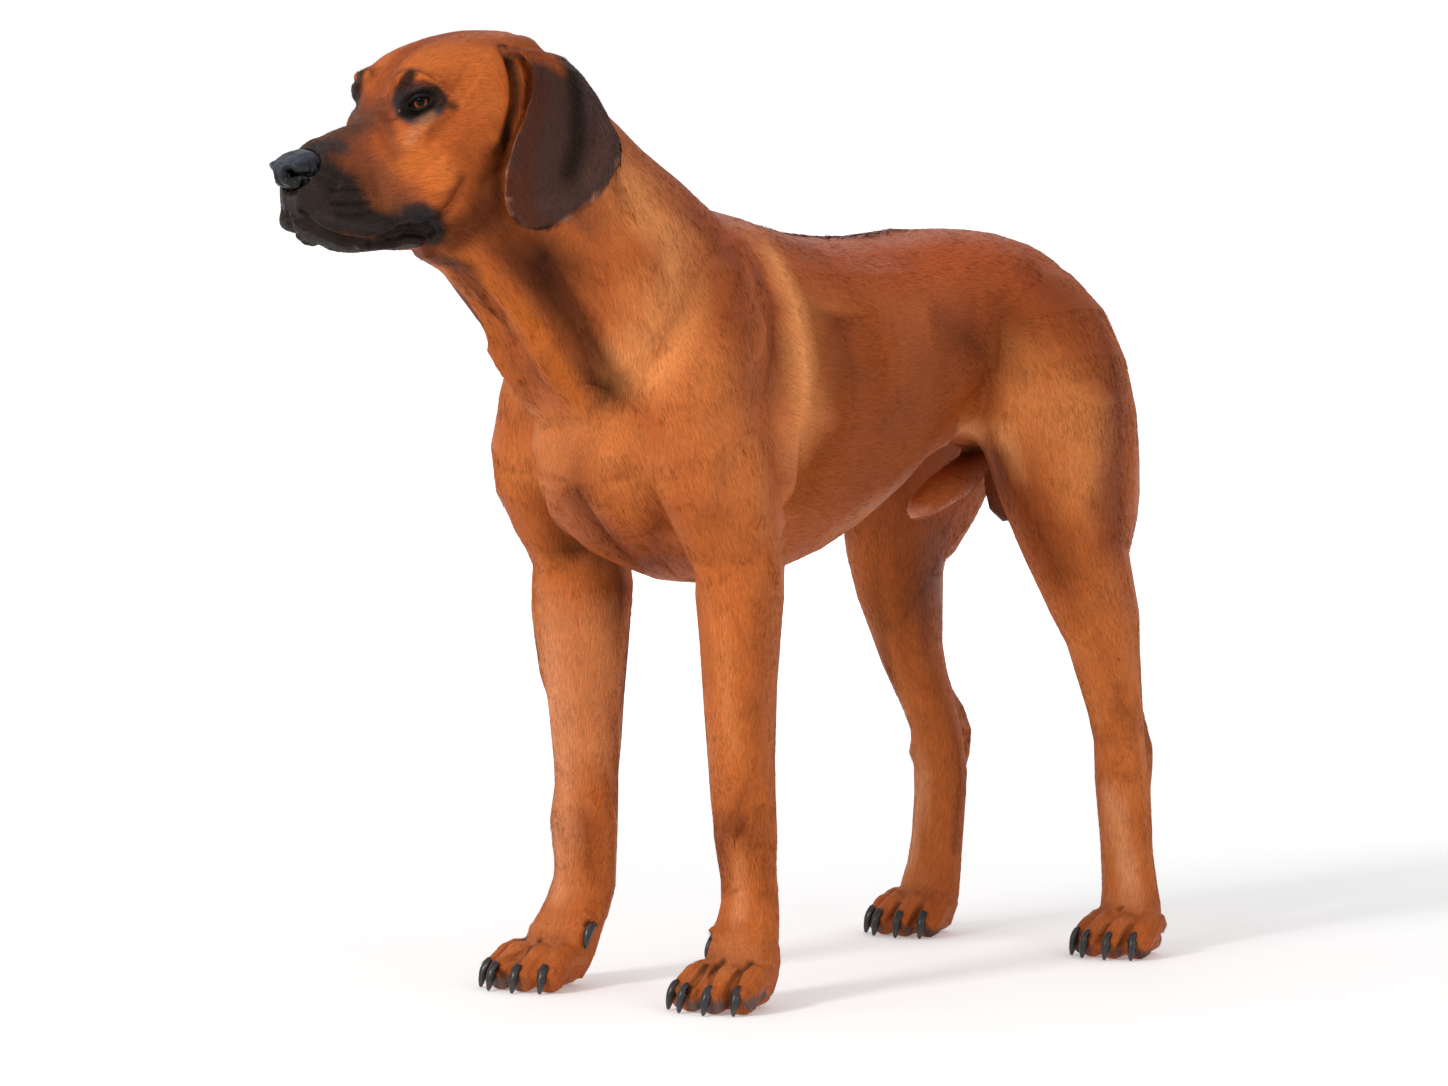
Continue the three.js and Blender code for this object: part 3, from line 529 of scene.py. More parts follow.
# neck, breast, limbs and paws
bodyStrokes = [
    stroke("front fold of the neck", 14, 7, (15, -238, 645), (19, -201, 619), (21, -170, 588),
        (22, -147, 556), (23, -122, 525)),
    stroke("groove beside the windpipe", 10, -4.5, (1, -252, 651), (8, -223, 631), (9, -197, 608),
        (4, -175, 582), (0, -150, 552)),
    stroke("windpipe fold", 12, 3.5, (-37, -193, 623), (-40, -162, 593), (-21, -160, 568),
        (-16, -137, 535)),
    stroke("groove behind the front fold", 15, -8.5, (52, -195, 655), (50, -174, 624), (51, -150, 591),
        (52, -128, 560), (50, -110, 537)),
    stroke("side muscle of the neck", 38, 4.5, (81, -109, 680), (85, -95, 633), (77, -99, 582),
        (55, -104, 538)),
    stroke("hollow before the shoulder", 24, -3.5, (75, -21, 670), (86, -36, 623), (91, -62, 581),
        (76, -76, 547)),
    stroke("edge of the shoulder blade", 24, 2.4, (54, 78, 664), (78, 90, 628), (93, 96, 584),
        (100, 94, 541), (101, 87, 506)),
    stroke("hollow before that edge", 16, -2, (68, 40, 664), (93, 41, 625), (91, 62, 581), (97, 61, 533)),
    stroke("crease behind the arm", 8, -5, (102, 95, 511), (100, 93, 471), (90, 89, 432), (126, 35, 405),
        sharp=True),
    stroke("crease above the breastbone", 6, -2.4, (11, -120, 522), (-8, -102, 493), (-5, -102, 467),
        sharp=True, sides=1),
    stroke("crease across the breast", 6, -1.8, (6, -102, 456), (34, -96, 458), (55, -84, 463),
        (67, -69, 474), sharp=True),
    stroke("crease to the other side", 5, -1.4, (-51, -90, 466), (-22, -99, 461), (4, -102, 455),
        sharp=True, sides=1),
    stroke("cleft of the breast", 10, -4, (7, -102, 454), (7, -81, 427), (10, -56, 400), (6, -15, 378),
        sharp=True, sides=1),
    stroke("second fold under the breast", 10, -2.6, (34, -91, 444), (40, -65, 415), (35, -28, 387),
        (21, 20, 368), sides=1),
    stroke("left breast muscle", 30, 2.6, (25, -99, 484), (51, -90, 488), (65, -73, 494)),
    stroke("breast below", 18, 3.2, (42, -80, 433), (50, -50, 411)),
    stroke("point of the shoulder", 30, 4, (95, -80, 462), (100, -73, 436)),
    stroke("upper arm", 26, 3, (119, -62, 513), (127, -56, 470), (123, -51, 427)),
    stroke("triceps", 24, 5, (127, -10, 503), (133, -5, 451), (132, -2, 416)),
    stroke("groove before the triceps", 13, -3.6, (130, -46, 483), (130, -39, 435), (126, -21, 400)),
    stroke("fold in front of the elbow", 10, -3, (103, -44, 391), (107, -29, 373), (112, -26, 356)),
    stroke("elbow skin", 8, 3.5, (130, 10, 403), (129, 19, 382), (130, 26, 364)),
    stroke("muscle of the forearm", 16, 3, (122, -17, 348), (122, -9, 304), (120, -2, 260)),
    stroke("groove of the forearm", 8, -2.2, (112, -26, 356), (108, -19, 304), (102, -13, 251)),
    stroke("crease in front of the thigh", 13, -4.5, (-41, 439, 458), (72, 340, 495), (81, 362, 523),
        (91, 376, 556)),
    stroke("front edge of the thigh", 16, 3.5, (42, 390, 474), (94, 367, 499), (106, 383, 531)),
    stroke("loin hollow", 36, -4, (88, 277, 587), (86, 328, 577), (88, 381, 571)),
    stroke("hip bone", 16, 3, (64, 431, 635), (75, 446, 623)),
    stroke("last ribs", 12, 1.8, (84, 213, 607), (103, 210, 546), (104, 204, 493)),
    stroke("ribs", 10, 1.3, (93, 150, 592), (104, 150, 522), (102, 147, 469)),
    stroke("thigh muscle", 40, 4.5, (127, 447, 529), (132, 452, 475), (136, 430, 422)),
    stroke("groove behind the thigh", 16, -2.5, (125, 403, 449), (137, 422, 395), (142, 436, 349)),
    stroke("tendon above the hock", 8, -3, (116, 536, 262), (113, 546, 222)),
    stroke("hollow beside the hock", 8, -3, (141, 485, 246), (136, 502, 217)),
    stroke("hock joint", 14, 2.5, (122, 520, 178), (122, 512, 168)),
    stroke("wrist", 16, 2.5, (100, -8, 152), (110, -6, 146)),
    stroke("hollow above the wrist", 16, -2, (98, -12, 182)),
    stroke("top of the pastern", 14, -1.8, (104, -20, 104)),
    stroke("front of the carpus", 13, 2.8, (97, -4, 163), (109, -2, 155)),
    stroke("hollow over the carpus", 12, -2, (97, -7, 191), (109, -3, 188)),
    stroke("groove at the side of the carpus", 8, -2.4, (120, 12, 181), (123, 10, 142)),
    stroke("tendon of the foreleg", 7, 2, (103, -22, 321), (102, -15, 268), (101, -8, 211)),
    stroke("groove behind the tendon", 8, -2.2, (120, -14, 321), (117, -7, 269), (114, 0, 207)),
    stroke("tendon of the pastern", 8, 1.8, (106, -2, 127), (105, 2, 98), (109, -6, 72)),
    stroke("groove beside that tendon", 7, -1.6, (122, 10, 122), (123, 8, 94), (128, 0, 69)),
    stroke("shin", 8, 2.2, (108, 445, 292), (105, 473, 240), (102, 496, 193)),
    stroke("hollow before the heel tendon", 9, -3.4, (142, 478, 256), (136, 503, 213)),
    stroke("outside of the hock", 10, 2.8, (125, 501, 175), (127, 505, 166)),
    stroke("tendon of the hind foot", 7, 2, (109, 501, 142), (110, 503, 87), (109, 502, 55)),
    stroke("groove behind that tendon", 7, -1.8, (128, 508, 138), (130, 507, 88), (134, 503, 57)),
    stroke("ridge of the back", 12, 2.2, (0, 108, 690), (0, 200, 664), (0, 350, 668), sides=1, taper=0.1),
    *repeated(stroke("groove of the hind paw", 5.5, -2.2, sharp=True, taper=0.3), *hindToeGaps),
    *repeated(stroke("groove between the toes", 6, -3.4, sharp=True, taper=0.3), *toeGaps),
    *repeated(stroke("tip of toe", 8, 2.6), (83, -51, 19), (107, -59, 21), (130, -60, 23), (153, -46, 22)),
    *repeated(stroke("knuckle", 11, 2.4), (80, -32, 36), (101, -40, 38), (126, -40, 38), (146, -30, 36)),
    *repeated(stroke("hind knuckle", 10, 2.2), (95, 492, 32), (115, 484, 34), (137, 484, 34),
        (156, 494, 32)),
    stroke("skin of the dewclaw", 10, 4.2, (72, 6, 66), (71, 2, 60)),
    stroke("mound of the wrist pad", 9, 3.6, (98, 48, 118), (98, 50, 110)),
    stroke("hollow under the wrist pad", 20, -4.5, (99, 50, 88), (101, 46, 64), (104, 42, 48)),
]


# where small triangles are kept: the face first, then the rest of the head, ears and paws
fineParts = [
    *onTheHead(
        track((0, -262, -10), (0, -215, -40), (0, -175, -30), reach=62, plain=0.30, sides=1),
        track((36, -140, 30), reach=26, plain=0.02),
        track((50, -120, 10), (50, -150, -60), reach=50, plain=0.40),
        track((0, -40, 0), (0, -120, 10), reach=110, plain=0.60, sides=1)),
    track((113, -60, 10), (113, -16, 20), reach=60, plain=0.45),
    track((125, 460, 10), (125, 511, 20), reach=60, plain=0.45),
]


thinEdge = {"start": 0.8, "blend": 0.4}  # in shares of the reach


def thinOut(skin):
    places = cornersOf(skin)
    weights = np.ones(len(places))
    for part in fineParts:
        for share in sharesOfReach(places, part):
            blend = np.clip((share - thinEdge["start"]) / thinEdge["blend"], 0, 1)
            weights = np.minimum(weights, part["plain"] + (1 - part["plain"]) * blend)
    weightGroup(skin, "plain", weights)
    inEditMode(skin, bpy.ops.mesh.quads_convert_to_tris)
    ratio = skinSetup["triangles"] / len(skin.data.polygons)
    applyModifier(skin, "DECIMATE", ratio=ratio, vertex_group="plain", vertex_group_factor=1.0)
    skin.vertex_groups.clear()
    report(f"skin thinned to {len(skin.data.polygons)} triangles")


def unwrapSkin(skin):
    while skin.data.uv_layers:
        skin.data.uv_layers.remove(skin.data.uv_layers[0])
    skin.data.uv_layers.new(name="OFBake")
    inEditMode(skin, bpy.ops.uv.smart_project, angle_limit=math.radians(66), island_margin=0.001)
    report("skin unwrapped")


# nose leather; the root swells to fill its socket
noseSetup = {"voxel": 0.0007, "soften": 14, "front": (0, -262, -5), "frontReach": 16, "swell": 0.2,
             "colour": (17, 17, 20)}
noseStrokes = onTheHead(
    stroke("tip of the nose", 17, 0.6, (-6, -268, 0), (6, -268, 0), sides=1, taper=0),
    stroke("nostril", 9.5, -9.5, (12, -265, -5), (17, -261, -10), (20, -254, -13), taper=0),
    stroke("slit behind the nostril", 3.6, -4.4, (19, -255, -14), (24, -247, -11), (24, -241, -7),
           (23, -236, -2), sharp=True, taper=0.05),
    stroke("wing over the nostril", 7, 2.4, (9, -267, 2), (18, -259, 0), (24, -249, -2), taper=0.1),
    stroke("rim under the nostril", 3.6, 1.9, (13, -262, -18), (19, -255, -19), (24, -248, -16),
           (26, -240, -10), taper=0.1),
    stroke("dip of the top", 7, -0.9, (0, -250, 11), (0, -264, 6), sides=1),
    stroke("cleft between the nostrils", 3.2, -2.4, (0, -268, 2), (0, -269, -8), (0, -264, -18), sides=1,
           sharp=True, taper=0.1),
)
noseMarks = onTheHead(
    # painted highlight: the bluish grey on top of the nose
    mark("top", (52, 56, 68), 15, 0.2, 0.95, (8, -264, 5), (12, -250, 9), (10, -238, 11)),
    mark("root", (50, 42, 42), 8, 0.3, 0.85, (0, -232, 12), (16, -232, 10), (22, -233, 4)),
    # painted shade on the underside of the nose
    mark("below", (12, 11, 12), 11, 0.3, 0.95, (0, -266, -14), (16, -258, -18), (24, -246, -16)),
    # painted shadow inside the nostril
    mark("inside of the nostril", (2, 1, 1), 11, 0.7, 1, (10, -259, -4), (13, -255, -9), (17, -250, -12)),
    # painted shade in the slit behind the nostril
    mark("slit", (4, 3, 3), 3, 0.4, 1, (18, -254, -13), (23, -246, -10), (23, -240, -6), (22, -236, -2)),
    # painted highlight along the rim under the nostril
    mark("highlight on the rim under the nostril", (168, 158, 160), 3.2, 0.3, 0.9, (13, -262, -19), (19, -256, -20), (25, -248, -17),
         (27, -240, -11), (26, -235, -5)),
)


def makeNose():
    nose = copyOfNode("nose", "nose_leather")
    voxelRemesh(nose, noseSetup["voxel"])
    applyModifier(nose, "SMOOTH", factor=0.5, iterations=noseSetup["soften"])
    sculpt(nose, noseStrokes)
    places = cornersOf(nose)
    fromFront = near(places, onHead(noseSetup["front"]))[0] * 1000
    swell = np.clip((fromFront - noseSetup["frontReach"]) / 10, 0, 1) * noseSetup["swell"] / 1000
    moveCorners(nose, places + normalsOf(nose) * swell[:, None])
    places = cornersOf(nose)
    setColours(nose.data, paint(np.tile(linear(noseSetup["colour"]), (len(places), 1)), places, noseMarks))
    pick(nose)
    bpy.ops.object.shade_smooth()
    report(f"nose, {len(nose.data.polygons)} faces")
    return nose


# claws, rounded from the CAD's
clawFullness = 0.0009  # what rounding takes off is put back
clawNodes = [n for n in frame["nodes"] if "claw" in n]


def makeClaws():
    claws = joined([copyOfNode(name, "horn_" + name) for name in clawNodes], "claws")
    applyModifier(claws, "SUBSURF", levels=2, render_levels=2)
    facesOutward(claws)
    moveCorners(claws, cornersOf(claws) + normalsOf(claws) * clawFullness)
    return claws


# markings, painted shade and painted highlights: colours painted along paths, shared by the skin and the coat
coatColour = (166, 84, 38)
earColour = (58, 37, 33)


def linear(colour):
    c = np.array(colour, float) / 255
    return np.where(c <= 0.04045, c / 12.92, ((c + 0.055) / 1.055) ** 2.4)


# a later mark covers the ones before it; marks of painted shade in a crease follow the stroke that made it
maskDark = (29, 24, 24)
bedBrown = (40, 24, 18)
whiskerBlack = (7, 5, 6)
pathOf = {entry["name"]: entry["path"] for entry in headStrokes + bodyStrokes}
bodyMarks = [
    mark("back", (170, 76, 32), 150, 0.45, 0.95, (0, 70, 700), (0, 200, 680), (0, 350, 680), (0, 520, 660),
        sides=1),
    mark("ridge", (76, 32, 16), 9, 0.2, 0.85, *pathOf["ridge of the back"], sides=1),
    mark("flank", (132, 58, 14), 90, 0.3, 0.9, (95, 147, 583), (105, 176, 521), (102, 220, 483),
        (91, 315, 533)),
    mark("lower ribs", (132, 58, 14), 70, 0.3, 0.6, (98, 117, 453), (92, 165, 432)),
    # painted shade in the loin hollow
    mark("loin", (78, 28, 8), 46, 0.05, 0.75, (84, 323, 584), (83, 380, 577), (98, 390, 566),
        (97, 375, 538)),
    mark("belly line", (176, 112, 70), 14, 0.2, 0.5, (53, 128, 380), (62, 172, 395), (73, 213, 419),
        (-61, 409, 423), (-43, 438, 450)),
    mark("croup", (130, 56, 20), 60, 0.3, 0.85, (88, 444, 609), (110, 460, 582)),
    mark("thigh", (192, 112, 58), 56, 0.35, 0.9, (118, 394, 513), (130, 430, 494), (133, 440, 448)),
    mark("back of the thigh", (108, 40, 2), 40, 0.1, 0.85, (120, 489, 555), (129, 492, 491),
        (136, 482, 419), (144, 463, 366)),
    mark("hind leg", (182, 98, 46), 60, 0.5, 0.9, (139, 434, 331), (138, 462, 275), (128, 498, 199),
        (128, 506, 97)),
    mark("low thigh", (158, 80, 34), 36, 0.3, 0.7, (130, 409, 386), (141, 431, 358)),
    mark("shade of the far hind leg", (92, 42, 18), 56, 0.3, 0.85, (-96, 430, 420), (-104, 460, 360),
        (-112, 480, 310), sides=1),
    mark("lining of the groin", (218, 146, 92), 17, 0.05, 0.7, (41, 352, 468), (58, 363, 481),
        (80, 367, 482), (101, 371, 470), (110, 379, 450)),
    mark("withers and shoulder top", (130, 58, 26), 44, 0.3, 0.85, (67, 2, 678), (86, 2, 639),
        (108, -5, 597), (118, -3, 562)),
    mark("shoulder", (196, 110, 56), 60, 0.2, 0.7, (109, -51, 572), (125, -43, 513), (135, -22, 460)),
    # painted shade in the hollow before the edge of the shoulder blade
    mark("dark before the crescent", (112, 48, 20), 17, 0.2, 0.8, (77, 39, 651), (85, 55, 625),
        (90, 63, 585), (95, 57, 542)),
    mark("dark behind the crescent", (104, 44, 16), 26, 0.15, 0.75, (39, 152, 661), (71, 145, 635),
        (93, 139, 592), (104, 132, 522)),
    mark("crescent behind the shoulder", (222, 142, 84), 27, 0.1, 0.9, (50, 81, 668), (71, 90, 642),
        (86, 96, 610), (97, 96, 569), (101, 91, 524), (100, 83, 489)),
    mark("edge of the arm", (200, 116, 62), 12, 0.2, 0.6, (101, 88, 515), (99, 84, 472), (89, 83, 427)),
    mark("side of the neck", (216, 134, 76), 48, 0.2, 0.9, (76, -101, 710), (78, -63, 679), (83, -45, 651),
        (89, -62, 615), (83, -84, 577), (67, -97, 552)),
    mark("band before the shoulder", (176, 96, 48), 16, 0.2, 0.5, (73, -24, 678), (86, -43, 632),
        (89, -70, 590)),
    mark("neck under the ear", (160, 82, 38), 30, 0.3, 0.6, (74, -139, 689), (71, -149, 660)),
    # painted shade on the throat under the ear
    mark("throat under the ear", (74, 26, 6), 32, 0.2, 0.85, (42, -222, 669), (48, -199, 654),
        (48, -171, 617)),
    # painted shade in the groove behind the front fold
    mark("groove behind the front fold", (50, 15, 3), 27, 0.15, 0.95, (53, -192, 655), (52, -170, 624),
        (53, -146, 591), (54, -124, 560), (51, -107, 535)),
    # painted highlight on the front fold of the neck
    mark("front fold", (176, 90, 32), 15, 0.3, 0.9, (15, -238, 645), (20, -200, 619), (26, -169, 588),
        (29, -145, 556), (30, -121, 525)),
    # painted shade in the groove beside the windpipe
    mark("groove beside the windpipe", (72, 25, 6), 10, 0.15, 0.8, (1, -247, 647), (5, -222, 630),
        (5, -198, 607), (-2, -175, 580), (-5, -153, 554)),
    mark("breast", (186, 104, 52), 52, 0.3, 0.85, (-29, -98, 492), (35, -97, 486), (67, -69, 468)),
    # painted shade under the breast
    mark("under the breast", (104, 40, 10), 30, 0.1, 0.85, (10, -71, 416), (17, -46, 394), (19, -1, 374),
        sides=1),
    # painted shade in the cleft of the breast
    mark("cleft of the breast", (58, 18, 4), 9, 0.1, 0.85, (8, -100, 450), (7, -81, 427), (10, -56, 400),
        (0, -9, 376), sides=1),
    # painted shade in the crease across the breast
    mark("crease across the breast", (124, 56, 24), 5, 0.1, 0.6, (-51, -90, 466), (-23, -99, 459),
        (6, -102, 455), (34, -96, 458), (55, -84, 463), (67, -69, 474), sides=1),
    # painted shade in the crease above the breastbone
    mark("crease above the breastbone", (118, 52, 22), 6, 0.1, 0.7, (11, -120, 522), (-8, -102, 493),
        (-2, -102, 464), (6, -102, 455), sides=1),
    mark("pale hairs of the whorl", (214, 180, 150), 2.4, 0.2, 0.8, (6, -102, 454), (7, -101, 452),
        sides=1),
    mark("arm", (154, 76, 30), 42, 0.3, 0.75, (61, -49, 424), (90, -43, 391)),
    mark("elbow fold", (168, 92, 78), 8, 0.2, 0.7, (128, 27, 413), (125, 35, 390), (128, 32, 366)),
    mark("forelegs", (176, 92, 42), 75, 0.7, 0.95, (95, 10, 380), (97, 5, 260), (100, 8, 160),
        (110, -20, 70)),
    # painted highlight on the inner sides of the forelegs
    mark("inner forelegs", (206, 130, 82), 34, 0.3, 0.6, (66, 10, 330), (72, 15, 220)),
    # painted shade on the rear edge of the forearm
    mark("rear edge of the forearm", (140, 66, 28), 10, 0.1, 0.4, (133, 4, 355), (127, 10, 285),
        (120, 17, 215)),
    # painted highlight on the forearm
    mark("light of the forearm", (206, 122, 66), 13, 0.1, 0.6, (108, -22, 330), (106, -15, 269),
        (104, -7, 211)),
    # painted shade on the side of the pastern
    mark("side of the pastern", (130, 60, 26), 11, 0.1, 0.65, (126, 18, 137), (128, 17, 94)),
    # painted highlight on the pastern
    mark("light of the pastern", (210, 132, 84), 15, 0.1, 0.6, (103, 0, 121), (108, -2, 81)),
    # painted highlight on the shin
    mark("light of the shin", (206, 122, 64), 12, 0.1, 0.6, (124, 436, 303), (116, 466, 246),
        (112, 489, 203)),
    mark("shade of the hollow before the heel", (104, 44, 16), 10, 0.1, 0.75, (141, 479, 251),
        (135, 505, 210)),
    # painted highlight on the hind foot
    mark("light of the hind foot", (214, 142, 98), 17, 0.1, 0.7, (114, 501, 147), (125, 505, 97),
        (136, 506, 52)),
    mark("shade of the breast over the far leg", (96, 38, 10), 24, 0.1, 0.8, (-6, -90, 437), (-7, -75, 421),
        (-9, -61, 406), sides=1),
    # painted shade on top of the far foreleg
    mark("top of the far foreleg", (62, 22, 4), 27, 0.1, 0.9, (-74, -32, 400), (-67, -11, 390),
        (-58, 8, 379), (-55, 22, 350), sides=1),
    # painted shade on the front edge of the near thigh
    mark("front edge of the near thigh", (100, 40, 10), 30, 0.1, 0.85, (94, 370, 451), (110, 385, 415),
        (121, 402, 377), (128, 420, 335), sides=1),
    # painted shade in the hollow of the groin
    mark("hollow of the groin", (54, 22, 12), 20, 0.2, 0.95, (-1, 410, 451), (10, 433, 457), (79, 371, 458),
        sides=1),
    # painted shade inside the far thigh
    mark("inside of the far thigh", (104, 44, 14), 26, 0.1, 0.75, (-65, 479, 392), (-78, 484, 354),
        (-85, 483, 326), sides=1),
    # painted shade on the front edge of the far hind leg
    mark("front edge of the far hind leg", (104, 44, 12), 13, 0.1, 0.75, (-109, 426, 319), (-124, 455, 270),
        (-128, 483, 221), sides=1),
    # painted shade on the edge of the far wrist
    mark("edge of the far wrist", (104, 46, 20), 12, 0.1, 0.7, (-118, 4, 165), (-107, -3, 135), sides=1),
    # painted shade on the front edge of the pastern
    mark("front edge of the pastern", (120, 54, 18), 10, 0.1, 0.7, (76, 3, 145), (79, 9, 104)),
    # painted shade on the inner edge of the far foreleg
    mark("inner edge of the far foreleg", (112, 50, 20), 12, 0.1, 0.75, (-56, 37, 344), (-66, 44, 262),
        (-66, 31, 175), sides=1),
    # painted shade on the inner edge of the far hind leg
    mark("inner edge of the far hind leg", (112, 54, 26), 11, 0.1, 0.7, (-86, 488, 316), (-92, 492, 250),
        (-85, 518, 179), (-90, 526, 80), sides=1),
    # painted shade between breast and arm
    mark("between breast and arm", (112, 46, 16), 19, 0.1, 0.7, (63, -62, 442), (51, -41, 406),
        (26, 6, 374)),
    mark("front of the wrist", (78, 26, 8), 22, 0.1, 0.8, (92, -5, 157), (109, -2, 162), (121, 8, 157),
        sides=1),
    # painted highlight on the far foreleg, one side only
    mark("far foreleg", (204, 134, 94), 34, 0.1, 0.7, (-95, -8, 340), (-98, -8, 250), (-100, -12, 190),
        (-106, -18, 90), sides=1),
    # painted shade on the back of the forelegs
    mark("back of the forelegs", (146, 70, 30), 26, 0.3, 0.7, (98, 52, 330), (100, 46, 230),
        (102, 44, 160)),
    mark("wrist pads", (56, 38, 34), 11, 0.4, 0.95, (98, 50, 112), (99, 52, 104)),
    mark("paws", (186, 108, 62), 44, 0.4, 0.7, (113, -20, 36)),
    mark("hind paws", (186, 108, 62), 42, 0.4, 0.7, (125, 505, 34)),
    mark("shade over the toes", (120, 54, 22), 13, 0.1, 0.35, (86, -18, 44), (113, -26, 46),
        (138, -18, 44)),
    mark("shade over the hind toes", (120, 54, 22), 12, 0.1, 0.35, (104, 500, 40), (126, 494, 42),
        (147, 500, 40)),
    # painted shade in the gaps between the toes
    *repeated(mark("gap of the toes", (44, 16, 7), 6, 0.15, 0.85), *toeGaps),
    *repeated(mark("gap of the hind toes", (54, 20, 8), 6, 0.1, 0.75), *hindToeGaps),
    mark("pads", (96, 80, 76), 10, 0.3, 0.9, (76, -58, 11), (100, -70, 7), (105, -58, 5), (130, -58, 7),
        (152, -54, 9), (160, -41, 10), (146, -10, 16)),
    mark("hind pads", (74, 62, 60), 10, 0.35, 0.92, (84, 500, 3), (91, 480, 4), (113, 467, 4),
        (138, 467, 4), (159, 480, 4), (166, 506, 3), (156, 532, 3)),
    *repeated(mark("claw bed", bedBrown, 7, 0.3, 0.85), (79, -50, 21), (101, -60, 21), (127, -60, 21),
        (147, -48, 21)),
    *repeated(mark("hind claw bed", bedBrown, 6.5, 0.3, 0.85), (94, 479, 20), (114, 470, 20),
        (137, 470, 20), (156, 482, 20)),
    mark("dewclaw bed", (60, 32, 22), 7, 0.3, 0.8, (72, 2, 58)),
    # painted shade under the loin
    mark("under the loin", (112, 52, 32), 16, 0.2, 0.8, (4, 410, 451), (16, 432, 442), (86, 377, 435)),
    mark("sheath", (190, 112, 76), 20, 0.4, 0.85, (0, 440, 436), (0, 390, 424), sides=1),
    mark("tip of the sheath", (196, 128, 100), 12, 0.3, 0.85, (0, 354, 404), sides=1),
    mark("scrotum", (84, 38, 24), 36, 0.6, 0.95, (0, 498, 446), (0, 492, 400), sides=1),
]


